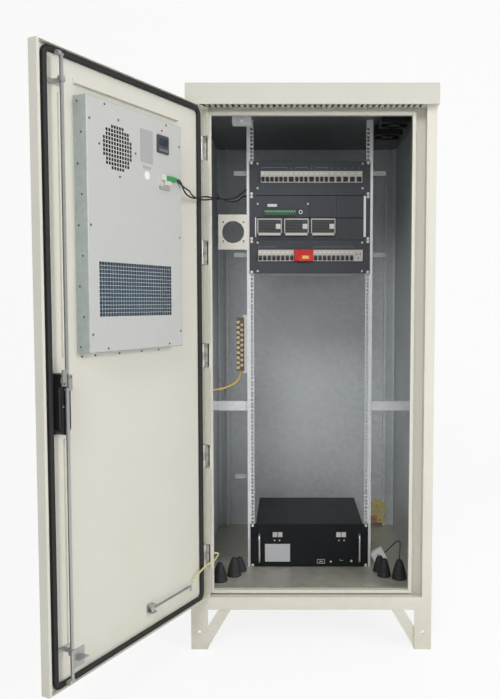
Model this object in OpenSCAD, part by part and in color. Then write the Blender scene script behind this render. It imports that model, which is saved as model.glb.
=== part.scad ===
/* [Cabinet] */
// Width over the side panels
cab_w = 900; // [860:10:1000]
// Depth over the front frame and the rear panel
cab_d = 900; // [860:10:1000]
// Height of the plinth
plinth_h = 200; // [160:5:300]
// Height of the body from the plinth to the ceiling
body_h = 1824; // [1800:4:1900]
// Thickness of the insulated side and rear panels
panel_t = 25; // [15:1:30]
// Thickness of the folded sheet
sheet = 2; // [1.5:0.5:2.5]
// Height of the ceiling panel
ceiling_t = 12; // [8:1:20]
// Height of the floor pan
floor_t = 14; // [10:1:16]

/* [Roof] */
// Height of the roof cap above the ceiling's underside
roof_rise = 56; // [40:1:80]
// Depth of the roof's skirt below the ceiling's underside
roof_skirt = 20; // [14:1:24]
// Overhang of the roof at the front and rear
roof_over = 30; // [20:1:50]
// Slope of the roof's front edge
roof_chamfer = 8; // [4:1:12]
// Number of air slots under the front edge
slot_count = 38; // [10:1:38]
// Spacing of the air slots
slot_pitch = 21; // [14:0.5:22]
// Width of an air slot
slot_w = 9; // [5:0.5:11]
// Length of an air slot
slot_len = 42; // [20:1:50]

/* [Plinth] */
// Height of the skirt beam
beam_h = 48; // [36:1:70]
// Width of a corner leg
leg_w = 63; // [50:1:80]
// Thickness of the plinth's plate
plate_t = 4; // [3:0.5:6]
// Distance of an anchor hole from the cabinet's side
anchor_in = 31.5; // [22:0.5:40]
// Diameter of an anchor hole
anchor_d = 14; // [10:0.5:18]
// Reach of a diagonal brace along the beam
brace_reach = 86; // [60:1:120]

/* [Front frame] */
// Face width of a front post
post_w = 36; // [30:1:40]
// Depth of the door's rebate
rebate = 40; // [36:1:46]
// Depth of the whole front frame
frame_d = 62; // [56:1:70]
// Width of the sealing lip
lip_w = 12; // [10:1:14]
// Reach of the sealing lip towards the door
lip_reach = 18; // [14:1:20]
// Distance from the cabinet's side to the clear opening
open_side = 84; // [80:1:90]
// Height of the sill above the plinth
sill_h = 19; // [18:1:26]
// Depth of the header below the ceiling
head_h = 46; // [44:1:52]

/* [Door] */
// Gap between the door and the posts
door_gap = 5.5; // [4:0.5:8]
// Gap under the door
door_foot = 3; // [2:0.5:5]
// Gap between the door and the roof's skirt
door_head = 6; // [4:0.5:10]
// Depth of the door pan
door_t = 30; // [26:1:32]
// Width of the return flange on the free side
door_flange = 10; // [6:1:14]
// Thickness of the insulated liner
liner_t = 8; // [6:0.5:9]
// Opening angle of the door
door_angle = 117; // [0:1:117]
// Distance of the hinge pin from the door's edge
pin_in = 8.5; // [8:0.1:9]
// Distance of the hinge pin behind the door's face
pin_back = 7; // [6.8:0.1:7.5]
// Gap between the closed gasket and the lip
gasket_gap = 0.3; // [0.1:0.1:1]
// Overlap of the gasket inside the opening
gasket_in = 5; // [2:1:6]

/* [Hinges] */
// Number of hinges
hinge_count = 5; // [3:1:5]
// Height of the lowest hinge's middle above the plinth
hinge_first = 156; // [120:1:200]
// Distance of the highest hinge's middle below the door's top
hinge_last = 142; // [120:1:200]
// Height of a hinge
hinge_h = 83; // [60:1:90]
// Outer diameter of a hinge barrel
barrel_d = 9.4; // [8:0.1:9.4]
// Diameter of a hinge pin
pin_d = 5; // [4:0.5:6]

/* [Rack] */
// Distance from the front plane to the rack's panel face
rack_y = 284; // [240:1:330]
// Height of the rack's first unit above the floor
rack_foot = 2; // [1:0.5:10]
// Width of a rail's front flange
rail_w = 27; // [24:1:32]
// Depth of a rail's side flange
rail_d = 45; // [30:1:60]
// Side of a square rack hole
rack_hole = 9.5; // [7:0.1:9.5]
// Height of the long bracket above the floor
bracket_z = 647; // [620:1:700]
// Height of the long bracket
bracket_h = 38; // [30:1:45]

/* [Power subrack] */
// Free rack units above the subrack
head_units = 3; // [1:1:8]
// Depth of the subrack's case
subrack_d = 310; // [280:5:400]
// Half width of the subrack's case
subrack_half = 216; // [214:0.5:222]
// Gap between the subrack's case and a rail
subrack_gap = 9; // [3:0.5:11]
// Thickness of a front panel
face_t = 3; // [2:0.5:4]
// Height of a breaker's nose
nose_h = 45; // [40:1:46]
// Width of a single breaker
pole_w = 18; // [17:0.5:18]
// Reach of a rectifier when drawn out
rectifier_d = 290; // [200:5:300]

/* [Battery] */
// Height of the battery in rack units
battery_units = 4; // [3:1:5]
// Depth of the battery
battery_d = 416; // [350:1:450]
// Half width of the battery's case
battery_half = 219; // [215:0.5:222]
// Gap between the battery's case and a rail
battery_gap = 6; // [3:0.5:10]
// Span of a bar handle
handle_span = 110; // [90:1:120]
// Reach of a bar handle
handle_reach = 34; // [25:1:45]
// Diameter of a bar handle
handle_d = 9; // [7:0.5:11]
// Distance of a bar handle from the case's side
handle_in = 15; // [13:0.5:20]
// Distance of a terminal block from the middle
terminal_x = 130; // [100:1:140]

/* [Air conditioner] */
// Width of the inner cover
ac_w = 456; // [430:1:480]
// Height of the inner cover
ac_h = 731; // [700:1:760]
// Depth of the inner cover
ac_d = 48; // [44:1:56]
// Offset of the cover's middle from the door's middle
ac_x = 26; // [10:1:30]
// Distance of the cover's top below the door's top
ac_head = 113; // [100:1:140]
// Depth of the louvred outer cover
ac_out = 45; // [35:1:60]
// Diameter of the round grille
round_d = 142; // [120:1:150]
// Spacing of the grille holes
mesh_pitch = 12; // [11:0.5:13]
// Side of a grille hole
mesh_hole = 8.5; // [6:0.5:9]

/* [Lock] */
// Distance of the lock's axis from the door's middle
lock_x = 340; // [330:1:342]
// Height of the lock's axis above the door's foot
lock_z = 882; // [860:1:900]
// Distance of the rods from the door's outer face
rod_y = 50.5; // [50:0.1:52]
// Travel of a rod
rod_travel = 18; // [14:0.5:18]
// Width of a rod
rod_w = 10; // [8:0.5:12]
// Thickness of a rod
rod_t = 5; // [4:0.5:6]
// Diameter of a roller
roller_d = 15; // [12:0.5:16]
// Diameter of a cam pin
cam_pin_d = 5.6; // [4:0.1:6]

/* [Fans] */
// Side of an exhaust fan
fan_w = 112; // [100:1:120]
// Height of an exhaust fan
fan_h = 40; // [30:1:45]
// Distance of the fans from the cabinet's middle
fan_x = 325; // [310:1:335]
// Distance of the first fan from the front plane
fan_y = 210; // [180:1:230]
// Spacing of the two fans
fan_pitch = 210; // [180:1:230]
// Spacing of the holes in the fan mount plate
mount_holes = 82.5; // [70:0.5:90]

/* [Hidden] */
$fn = 32;

// Heights of the body
half_w = cab_w / 2;
z_top = plinth_h + body_h;
roof_z0 = z_top - roof_skirt;
floor_z = plinth_h + floor_t;
open_x = half_w - open_side;
open_z0 = plinth_h + sill_h;
open_z1 = z_top - head_h;
back_y = cab_d - panel_t;

// The door in its closed place
door_x = half_w - post_w - door_gap;
door_z0 = plinth_h + door_foot;
door_z1 = roof_z0 - door_head;
pin_x = -door_x + pin_in;
liner_y = sheet + liner_t;
liner_x = open_x + 20;
lip_y = rebate - lip_reach;
weld = 0.2;
hinge_clear = 3;
hinge_pitch = (door_z1 - hinge_last - plinth_h - hinge_first) / (hinge_count - 1);

// The rack
unit = 44.45;
rail_in = max(subrack_half + subrack_gap, battery_half + battery_gap);
hole_in = 7.55;
ear_out = 16.3;
hole_x = rail_in + hole_in;
ear_x = rail_in + ear_out;
rack_z = floor_z + rack_foot;
rail_y = rack_y + face_t;
rail_units = floor((z_top - rack_z) / unit);
unit_holes = [6.35, 22.225, 38.1];
hole_z = unit_holes[0];
sub_units = 10;
sub_z = rack_z + (rail_units - head_units - sub_units) * unit;
mid_z = sub_z + 3 * unit;
row_z = mid_z + 2 * unit;
top_z = row_z + 2 * unit;
sub_top = top_z + 3 * unit;
case_t = 1.5;
fit = 0.5;
din_y = rail_y + 58;
bay_w = subrack_half / 2 - case_t / 2;
screw_d = 5;

// The air conditioner on the closed door
ac_x0 = ac_x - ac_w / 2;
ac_x1 = ac_x + ac_w / 2;
ac_z1 = door_z1 - ac_head;
ac_z0 = ac_z1 - ac_h;
ac_face = liner_y + ac_d;
ac_rim = 12;
round_x = ac_x + 95;
round_z = ac_z1 - 129;
coil_x = ac_x + 8;
coil_w = 26 * mesh_pitch;
coil_z = ac_z0 + 185;
mesh_cols = 24;
mesh_rows = 14;
divider_y = 4;

// The lock on the closed door
axis_z = door_z0 + lock_z;
cam_r = rod_travel / sqrt(2);
cam_y = rod_y - rod_t / 2 - 1;
cam_t = 3.5;
rod_play = 0.5;
crank = 30;
slot_end = cam_r - cam_r / sqrt(2);
head_z = open_z1 - roller_d / 2 - 1.5;
foot_z = open_z0 + roller_d / 2 + 2.5;
guide_z = [foot_z + 82, head_z - 66];
plate_out = 8;

// Cord routes in the standing frame, measured from the front plane
earth_route = [[-282, 322, 1020.5], [-283, 319, 1002], [-292, 300, 984], [-312, 262, 970], [-340, 215, 962],
    [-370, 172, 960], [-396, 144, 964], [-412, 135, 967], [-424.5, 134, 968]];
sensor_route = [[312, 320, 262.5], [320.8, 320, 267.2], [333, 314, 281], [347, 293, 306], [357, 255, 330],
    [361, 215, 342], [358, 183, 334], [354, 163, 314], [352, 158, 289.4]];
harness_route = [[-455, -228, 1703], [-450, -218, 1703], [-441, -201, 1692], [-432, -181, 1679],
    [-423, -155, 1669], [-412, -120, 1665], [-400, -82, 1666], [-387, -48, 1670], [-372, -16, 1675],
    [-356, 16, 1680], [-346, 58, 1684], [-335, 108, 1686], [-319, 164, 1686], [-302, 218, 1685],
    [-288, 262, 1685], [-277, 291, 1686], [-265, 303, 1687], [-252.5, 304, 1687]];
strap_route = [[-438.2, -75.7, 290], [-431.5, -79, 291], [-424, -77, 298], [-412, -60, 315], [-397, -33, 333],
    [-383, -6, 346], [-366, 10, 353], [-351, 22, 356], [-350, 32, 357], [-357, 34, 357], [-365.6, 34, 357]];

// Colours
paint = [0.72, 0.71, 0.66];
zinc = [0.66, 0.68, 0.70];
steel = [0.78, 0.79, 0.80];
black = [0.06, 0.06, 0.065];
cream = [0.85, 0.84, 0.78];
dark_grey = [0.25, 0.26, 0.28];

// Shared shapes
module slab(low, high) { translate(low) cube(high - low); }

// Children measured from the front plane instead of the middle
module from_front() { translate([0, -cab_d / 2, 0]) children(); }

// Children of the closed door, swung open about the hinge pin
module on_door() {
    from_front() translate([pin_x, pin_back, 0]) rotate(-door_angle) translate([-pin_x, -pin_back, 0])
        children();
}

// Flat outline in X and Z, made a plate whose face is at y and whose back is at y + t
module upright(y, t) { translate([0, y + t, 0]) rotate([90, 0, 0]) linear_extrude(t) children(); }

module rounded(low, high, r) {
    translate([low[0] + r, low[1]]) square([high[0] - low[0] - 2 * r, high[1] - low[1]]);
    translate([low[0], low[1] + r]) square([high[0] - low[0], high[1] - low[1] - 2 * r]);
    for (x = [low[0] + r, high[0] - r], y = [low[1] + r, high[1] - r]) translate([x, y]) circle(r);
}

module ring(low, high, w, r) {
    difference() {
        rounded(low, high, r);
        rounded(low + [w, w], high - [w, w], r - min(r - 1, w));
    }
}

module rod_x(d, x0, x1) { translate([x0, 0, 0]) rotate([0, 90, 0]) cylinder(d = d, h = x1 - x0); }
module rod_along_y(d, y0, y1) { translate([0, y1, 0]) rotate([90, 0, 0]) cylinder(d = d, h = y1 - y0); }

// Round tube along a route, one ring of points at each route point
function unit_of(v) = v / norm(v);
function heading(p, i) = unit_of(p[min(i + 1, len(p) - 1)] - p[max(i - 1, 0)]);
function ring_points(c, t, d, n, up) =
    let (side = unit_of(cross(t, up)), lift = cross(side, t))
    [for (k = [0 : n - 1]) c + d / 2 * (cos(360 * k / n) * side + sin(360 * k / n) * lift)];
module tube(route, d, n, up) {
    last = len(route) - 1;
    points = [for (i = [0 : last]) each ring_points(route[i], heading(route, i), d, n, up)];
    sides = [for (i = [0 : last - 1], k = [0 : n - 1]) let (a = i * n + k, b = i * n + (k + 1) % n)
        each [[a, b, b + n], [a, b + n, a + n]]];
    caps = [for (k = [1 : n - 2]) each [[0, k + 1, k], [last * n, last * n + k, last * n + k + 1]]];
    polyhedron(points, concat(sides, caps));
}

// Plinth
module plinth_leg() {
    slab([0, 0, 0], [leg_w, plate_t, plinth_h - beam_h]);
    slab([0, 0, 0], [plate_t, leg_w, plinth_h - beam_h]);
    slab([0, 0, 0], [leg_w, leg_w, plate_t + 1]);
}

module plinth_brace() {
    brace_w = 45;
    lap = 14;
    run = brace_reach + plate_t;
    rise = plinth_h - beam_h - plate_t - 1;
    // The top laps the beam's inside
    translate([leg_w - plate_t, 0, plate_t + 1]) upright(plate_t, plate_t)
        polygon([[0, 0], [plate_t, 0], [run, rise], [run, rise + lap], [run - brace_w, rise + lap],
            [run - brace_w, rise], [0, rise / 2]]);
}

module plinth_corner() {
    plinth_leg();
    plinth_brace();
    mirror([1, -1, 0]) plinth_brace();
}

module plinth_frame() {
    beam_flange = 40;
    color(paint) difference() {
        from_front() {
            difference() {
                slab([-half_w, 0, plinth_h - beam_h], [half_w, cab_d, plinth_h]);
                slab([-half_w + plate_t, plate_t, plinth_h - beam_h - 1],
                    [half_w - plate_t, cab_d - plate_t, plinth_h - plate_t]);
                slab([-half_w + beam_flange, beam_flange, plinth_h - beam_h - 1],
                    [half_w - beam_flange, cab_d - beam_flange, plinth_h + 1]);
            }
            for (a = [0, 1], b = [0, 1]) mirror([a, 0, 0]) translate([-half_w, b * cab_d, 0])
                mirror([0, b, 0]) plinth_corner();
        }
        for (x = [-1, 1], y = [-1, 1])
            translate([x * (half_w - anchor_in), y * (cab_d / 2 - anchor_in), -1])
                cylinder(d = anchor_d, h = plate_t + 3);
        for (x = [-1, 1]) translate([x * (half_w - leg_w / 2), -cab_d / 2 - 1, plinth_h / 3])
            rod_along_y(12, 0, plate_t + 2);
    }
}

// Body
gland_spots = [[-354, 132], [-302, 190], [-284, 246], [352, 158], [296, 186], [284, 240]];

module floor_pan() {
    color(zinc) from_front() difference() {
        slab([-half_w + panel_t, frame_d + 4, plinth_h], [half_w - panel_t, back_y, floor_z]);
        slab([-half_w + panel_t + sheet, frame_d + 4 + sheet, plinth_h - 1],
            [half_w - panel_t - sheet, back_y - sheet, floor_z - sheet]);
        for (p = gland_spots) translate([p[0], p[1], plinth_h]) cylinder(d = gland_hole, h = floor_t + 1);
    }
}

module side_panel() {
    seam = 40;
    from_front() difference() {
        slab([half_w - panel_t, frame_d, plinth_h], [half_w, back_y, z_top]);
        // Folded seams of the outer sheet
        for (y = [frame_d + seam, back_y - seam])
            slab([half_w - sheet, y, plinth_h - 1], [half_w + 1, y + sheet, z_top + 1]);
    }
}
module left_side_panel() { color(paint) mirror([1, 0, 0]) side_panel(); }
module right_side_panel() { color(paint) side_panel(); }

module corner_post() {
    web = half_w - panel_t - 1;
    inner = web - 53;
    lip = 14;
    depth = 20;
    slab([inner, back_y - depth, floor_z + 1], [inner + lip, back_y - depth + sheet, z_top]);
    slab([web - lip, back_y - depth, floor_z + 1], [web, back_y - depth + sheet, z_top]);
    slab([inner, back_y - depth, floor_z + 1], [inner + sheet, back_y + 1, z_top]);
    slab([web - sheet, back_y - depth, floor_z + 1], [web, back_y + 1, z_top]);
}

module rear_panel() {
    seam = 60;
    color(paint) from_front() difference() {
        union() {
            slab([-half_w, back_y, plinth_h], [half_w, cab_d, z_top]);
            for (m = [0, 1]) mirror([m, 0, 0]) corner_post();
        }
        for (x = [-1, 1]) slab([x * (half_w - seam) - 1, cab_d - sheet, plinth_h - 1],
            [x * (half_w - seam) + 1, cab_d + 1, z_top + 1]);
    }
}

module ceiling_panel() {
    color(paint) from_front() difference() {
        slab([-half_w, rebate + sheet, z_top], [half_w, cab_d, z_top + ceiling_t]);
        for (i = [0, 1]) translate([fan_x, fan_y + i * fan_pitch, z_top - 1])
            cylinder(d = fan_bore, h = ceiling_t + 2);
    }
}

module front_post() {
    step = half_w - post_w;
    slab([step, 0, plinth_h], [half_w, sheet, roof_z0]);
    slab([half_w - sheet, 0, plinth_h], [half_w, frame_d, roof_z0]);
    slab([step, 0, plinth_h], [step + sheet, rebate + sheet, roof_z0]);
    slab([half_w - panel_t, frame_d - sheet, plinth_h], [half_w, frame_d, z_top]);
}

module lip_ring(grow, y0, y1) {
    upright(y0, y1 - y0) ring([-open_x - grow, open_z0 - grow], [open_x + grow, open_z1 + grow], sheet, 3);
}

module front_frame() {
    step = half_w - post_w;
    color(paint) from_front() difference() {
        union() {
            for (m = [0, 1]) mirror([m, 0, 0]) front_post();
            upright(rebate, sheet) difference() {
                translate([-step - sheet, plinth_h]) square([2 * (step + sheet), body_h]);
                rounded([-open_x, open_z0], [open_x, open_z1], 3);
            }
            // Folded lip that the gasket closes on
            upright(lip_y, sheet) difference() {
                rounded([-open_x - lip_w, open_z0 - lip_w], [open_x + lip_w, open_z1 + lip_w], 6);
                rounded([-open_x, open_z0], [open_x, open_z1], 3);
            }
            lip_ring(sheet, lip_y, rebate + sheet);
            lip_ring(lip_w, lip_y, rebate + sheet);
        }
        // Seams between the jambs, the header and the sill
        for (m = [0, 1]) mirror([m, 0, 0])
            slab([open_x - weld, -1, plinth_h - 1], [open_x, frame_d + 1, z_top + 1]);
    }
}

module roof_cap() {
    side = half_w + sheet + 1;
    y0 = -roof_over;
    y1 = cab_d + roof_over;
    z1 = z_top + roof_rise;
    rib_w = 30;
    rib_x = half_w - 150;
    color(paint) from_front() difference() {
        union() {
            difference() {
                translate([-side, 0, 0]) rotate([90, 0, 90]) linear_extrude(2 * side)
                    polygon([[y0, roof_z0], [y1, roof_z0], [y1, z1 - roof_chamfer], [y1 - roof_chamfer, z1],
                        [y0 + roof_chamfer, z1], [y0, z1 - roof_chamfer]]);
                translate([-side + sheet, 0, 0]) rotate([90, 0, 90]) linear_extrude(2 * (side - sheet))
                    polygon([[y0 + sheet, roof_z0 + sheet], [y1 - sheet, roof_z0 + sheet],
                        [y1 - sheet, z1 - roof_chamfer - 1], [y1 - roof_chamfer - 1, z1 - sheet],
                        [y0 + roof_chamfer + 1, z1 - sheet], [y0 + sheet, z1 - roof_chamfer - 1]]);
                // The body below the ceiling fills the cap behind the front strip
                slab([-side + sheet, rebate, roof_z0 - 1], [side - sheet, cab_d + 1, roof_z0 + sheet + 1]);
            }
            // Cross ribs that rest on the ceiling
            for (x = [-rib_x, rib_x]) slab([x - rib_w / 2, rebate + sheet, z_top + ceiling_t],
                [x + rib_w / 2, cab_d, z1 - sheet / 2]);
        }
        for (i = [0 : slot_count - 1])
            translate([(i - (slot_count - 1) / 2) * slot_pitch - slot_w / 2, -slot_len / 2, roof_z0 - 1])
                cube([slot_w, slot_len, sheet + 2]);
    }
}

// Rack
module rack_rail() {
    from_front() {
        upright(rail_y, sheet) difference() {
            translate([rail_in, floor_z]) square([rail_w, z_top - floor_z]);
            for (u = [0 : rail_units - 1], h = unit_holes)
                translate([hole_x - rack_hole / 2, rack_z + u * unit + h - rack_hole / 2]) square(rack_hole);
        }
        slab([rail_in + rail_w - sheet, rail_y, floor_z], [rail_in + rail_w, rail_y + rail_d, z_top]);
    }
}
module left_rack_rail() { color(zinc) mirror([1, 0, 0]) rack_rail(); }
module right_rack_rail() { color(zinc) rack_rail(); }

module rail_brackets() {
    stub_h = 18;
    stub_len = 52;
    outer = rail_in + rail_w;
    flange = 20;
    stubs = [for (z = [sub_z + 390, sub_z + 66, floor_z + 366]) z];
    color(zinc) from_front() for (m = [0, 1]) mirror([m, 0, 0]) {
        translate([0, rail_y + 8, floor_z + bracket_z]) {
            slab([outer, 0, 0], [half_w - panel_t, sheet, bracket_h]);
            slab([outer, 0, 0], [half_w - panel_t, flange, sheet]);
            slab([outer, 0, bracket_h - sheet], [half_w - panel_t, flange, bracket_h]);
        }
        for (z = stubs) translate([0, rail_y + 8, z]) {
            slab([outer, 0, 0], [outer + stub_len, sheet, stub_h]);
            slab([outer, 0, 0], [outer + stub_len, flange, sheet]);
        }
    }
}

// Hinges
leaf_t = 3.5;
knuckle = hinge_h / 3;
knuckle_gap = 0.4;
door_leaf_t = 3;
arm_t = 5;
pin_play = 0.1;
function hinge_z(i) = plinth_h + hinge_first + i * hinge_pitch;

module barrel(z0, z1, bore) {
    translate([pin_x, pin_back, z0]) difference() {
        cylinder(d = barrel_d, h = z1 - z0);
        translate([0, 0, -1]) cylinder(d = bore, h = z1 - z0 + 2);
    }
}

module hinge_frame_leaves() {
    plate_x0 = -(half_w - post_w) + 1;
    plate_x1 = -open_x - lip_w - 3;
    color(steel) from_front() for (i = [0 : hinge_count - 1]) translate([0, 0, hinge_z(i)]) {
        slab([plate_x0, rebate - leaf_t, -hinge_h / 2], [plate_x1, rebate, hinge_h / 2]);
        for (z = [-hinge_h / 2, hinge_h / 2 - knuckle + knuckle_gap]) {
            difference() {
                slab([pin_x, pin_back, z],
                    [pin_x + arm_t, rebate - leaf_t, z + knuckle - knuckle_gap]);
                translate([pin_x, pin_back, z - 1]) cylinder(d = barrel_d - 1, h = knuckle + 2);
            }
            barrel(z, z + knuckle - knuckle_gap, pin_d);
        }
    }
}

module hinge_pins() {
    head_t = 2;
    color(steel) from_front() for (i = [0 : hinge_count - 1])
        translate([pin_x, pin_back, hinge_z(i) - hinge_h / 2]) {
            cylinder(d = pin_d, h = hinge_h);
            translate([0, 0, hinge_h]) cylinder(d = barrel_d - 2, h = head_t);
        }
}

module hinge_door_leaves() {
    plate_x1 = -liner_x - fit;
    half = knuckle / 2;
    color(steel) on_door() for (i = [0 : hinge_count - 1]) translate([0, 0, hinge_z(i)]) {
        difference() {
            slab([pin_x + 2, sheet, -half], [plate_x1, sheet + door_leaf_t, half]);
            translate([pin_x, pin_back, -half - 1]) cylinder(d = barrel_d - 1, h = knuckle + 2);
        }
        barrel(-half, half, pin_d + pin_play);
    }
}

// Items on the floor, walls and ceiling
gland_hole = 40;
gland_d = 55;
gland_tip = 26;
gland_h = 75;

module cable_glands() {
    rim = 4;
    wall = 3;
    neck = gland_d - 9;
    dome = 8;
    tip = gland_tip / 2;
    color(black) from_front() for (p = gland_spots) translate([p[0], p[1], floor_z]) rotate_extrude()
        polygon([[gland_hole / 2 - wall, -sheet - rim], [gland_hole / 2 - fit, -sheet - rim],
            [gland_hole / 2 - fit, 0], [gland_d / 2, 0], [gland_d / 2, rim], [neck / 2, rim + 3],
            [neck / 2 - 2, rim + 16], [tip + 1, gland_h - dome], [tip - 2, gland_h - 2], [tip - 5, gland_h],
            [0, gland_h], [0, gland_h - wall], [tip - 5, gland_h - wall], [neck / 2 - 6, rim + 14],
            [gland_hole / 2 - wall, rim]]);
}

module door_switch() {
    size = [73, 42, 35];
    spot = [-303, 203];
    plunger_d = 12;
    plunger = 13;
    color(cream) from_front() translate([spot[0], spot[1], z_top - size[2]]) {
        cube(size);
        translate([size[0] / 2, -plunger, size[2] * 0.43]) rod_along_y(plunger_d, 0, plunger + 1);
    }
}

fan_bore = fan_w - 10;
fan_hub = 40;
blade_gap = 2;

module fan_spot(i) { from_front() translate([fan_x, fan_y + i * fan_pitch, z_top - fan_h]) children(); }

module fan_frame() {
    strut_w = 8;
    strut_h = 5;
    corner = 52 * fan_w / 120;
    difference() {
        linear_extrude(fan_h) rounded([-fan_w / 2, -fan_w / 2], [fan_w / 2, fan_w / 2], 6);
        translate([0, 0, -1]) cylinder(d = fan_bore, h = fan_h + 2);
        for (x = [-1, 1], y = [-1, 1]) translate([x * corner * 0.95, y * corner * 0.95, -1])
            cylinder(d = 4.5, h = fan_h + 2);
    }
    for (a = [45, 135]) rotate(a)
        slab([-fan_bore / 2 - 1, -strut_w / 2, 0], [fan_bore / 2 + 1, strut_w / 2, strut_h]);
    cylinder(d = fan_hub, h = strut_h + 1);
    cylinder(d = pin_d, h = strut_h + 8);
}
module exhaust_fan_frames() { color(black) for (i = [0, 1]) fan_spot(i) fan_frame(); }

module impeller() {
    blade_tilt = 38;
    foot = 6.3;
    hub_h = fan_h - foot - 4;
    blades = 7;
    translate([0, 0, foot]) {
        difference() {
            cylinder(d = fan_hub, h = hub_h);
            translate([0, 0, -1]) cylinder(d = pin_d + 0.6, h = 10);
        }
        intersection() {
            difference() {
                cylinder(d = fan_bore - 2 * blade_gap, h = hub_h);
                translate([0, 0, -1]) cylinder(d = fan_hub - 1, h = hub_h + 2);
            }
            for (a = [0 : blades - 1]) rotate(a * 360 / blades) translate([0, 0, hub_h / 2])
                rotate([blade_tilt, 0, 0]) slab([0, -hub_h, -1], [fan_bore, hub_h, 1]);
        }
    }
}
module exhaust_impeller_1() { color(dark_grey) fan_spot(0) impeller(); }
module exhaust_impeller_2() { color(dark_grey) fan_spot(1) impeller(); }

module fan_mount_plate() {
    plate_h = 139;
    plate_w = 110;
    plate_z = sub_z + 96;
    bore = 88;
    fold = 12;
    x0 = -rail_in - rail_w - plate_w - 4;
    x1 = -ear_x - 1;
    mid = [x0 + plate_w / 2 + 4, plate_z + plate_h / 2];
    color(paint) from_front() difference() {
        union() {
            slab([x0, rail_y - sheet, plate_z], [x1, rail_y, plate_z + plate_h]);
            slab([x0, rail_y - sheet, plate_z], [x0 + sheet, rail_y + fold, plate_z + plate_h]);
        }
        translate([mid[0], rail_y - 10, mid[1]]) rod_along_y(bore, 0, 20);
        for (x = [-1, 1], z = [-1, 1])
            translate([mid[0] + x * mount_holes / 2, rail_y - 10, mid[1] + z * mount_holes / 2])
                rod_along_y(4.5, 0, 20);
    }
}

earth_z = floor_z + 807;
module earth_bar() {
    bar = [30, 6, 218];
    strip_t = 3;
    strip_over = 10;
    lap = 5;
    hole_d = 8;
    hole_pitch = 26;
    rail_x = -rail_in - rail_w;
    bar_x = rail_x - 45;
    bar_y = rail_y + 31;
    color([0.72, 0.48, 0.30]) from_front() {
        difference() {
            translate([bar_x, bar_y, earth_z]) cube(bar);
            for (z = [20 : hole_pitch : bar[2] - 10]) translate([bar_x + 12, bar_y - 1, earth_z + z])
                rod_along_y(hole_d, 0, bar[1] + 2);
        }
        slab([bar_x + bar[0] - lap, bar_y + bar[1], earth_z - strip_over],
            [rail_x, bar_y + bar[1] + strip_t, earth_z + bar[2] + strip_over]);
    }
}

module earth_plate() {
    size = [56, 4, 125];
    stand = 20;
    foot = 10;
    plate_x = half_w - panel_t - 111;
    hole_d = 9;
    post_d = 10;
    color(steel) from_front() translate([plate_x, back_y - stand, floor_z + foot]) {
        difference() {
            translate([0, -size[1], 0]) cube(size);
            for (z = [20 : 28 : size[2] - 15]) translate([21, -size[1] - 1, z])
                rod_along_y(hole_d, 0, size[1] + 2);
        }
        for (z = [30, 90]) translate([46, 0, z]) rod_along_y(post_d, 0, stand);
    }
}

// Flat box that stands on its corner beside the right rail
sensor_side = 53;
sensor_turn = 28;
module water_sensor() {
    t = 20;
    half = sensor_side / 2;
    reach = half * (sin(sensor_turn) + cos(sensor_turn));
    middle = [rail_in + rail_w + reach + fit, rail_y + rail_d - 12, floor_z + reach + 0.2];
    color(cream) from_front() translate([middle[0], middle[1] - t / 2, middle[2]])
        rotate([0, -sensor_turn, 0]) upright(0, t) rounded([-half, -half], [half, half], 3);
}

module sensor_lead() { color(black) from_front() tube(sensor_route, 4, 8, [0, 1, 0.3]); }
module earth_lead() { color([0.45, 0.62, 0.15]) from_front() tube(earth_route, 7, 8, [0, 0.4, 0.2]); }
module door_harness() { color(black) from_front() tube(harness_route, 11, 10, [0, 0, 1]); }
module bonding_strap() { color([0.45, 0.62, 0.15]) from_front() tube(strap_route, 6, 8, [0, 0, 1]); }

// Power subrack
rail_screws = [for (x = [-1, 1], z = [sub_z + hole_z, mid_z - hole_z, mid_z + hole_z, top_z - hole_z,
    top_z + hole_z, sub_top - hole_z]) [x * hole_x, z]];
battery_screws = [for (x = [-1, 1], z = [rack_z + hole_z, rack_z + battery_units * unit - hole_z])
    [x * hole_x, z]];

module screw_holes(spots) { for (p = spots) translate(p) circle(d = screw_d + fit); }

module rack_screws() {
    head_d = 11;
    head_t = 3;
    color(cream) from_front() for (p = concat(rail_screws, battery_screws))
        translate([p[0], 0, p[1]]) {
            translate([0, rack_y - head_t, 0]) rod_along_y(head_d, 0, head_t);
            translate([0, rack_y - head_t, 0]) rod_along_y(screw_d, 0, head_t + face_t + 10);
        }
}

module subrack_chassis() {
    y0 = rail_y;
    y1 = rail_y + subrack_d;
    vent = 6;
    color(zinc) from_front() {
        difference() {
            slab([-subrack_half, y0, sub_z], [subrack_half, y1, sub_top]);
            for (z = [[sub_z, mid_z], [mid_z, row_z], [row_z, top_z], [top_z, sub_top]])
                slab([-subrack_half + case_t, y0 - 1, z[0] + case_t],
                    [subrack_half - case_t, y1 - case_t, z[1] - case_t / 2]);
            for (i = [-9 : 9], z = [sub_z + 30 : 40 : sub_z + 110])
                slab([i * 20 - vent, y1 - case_t - 1, z], [i * 20 + vent, y1 + 1, z + vent]);
        }
        // Ears beside the plug-in bay
        for (m = [0, 1]) mirror([m, 0, 0]) upright(rack_y, face_t) difference() {
            translate([subrack_half - case_t, mid_z + fit])
                square([ear_x - subrack_half + case_t, 4 * unit - 2 * fit]);
            screw_holes(rail_screws);
        }
        for (m = [0, 1]) mirror([m, 0, 0])
            slab([subrack_half - case_t, rack_y, mid_z + fit], [subrack_half, rail_y + 1, top_z - fit]);
        // Mounting rails of the breakers
        for (z = [breaker_z(top_z), breaker_z(sub_z)])
            slab([-subrack_half + 1, din_y, z - 17], [subrack_half - 1, din_y + 7, z + 17]);
    }
}

function breaker_z(foot) = foot + 1.62 * unit;
breaker_h = 78;
breaker_y = rail_y + 6;
nose_in = 20;
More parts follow.
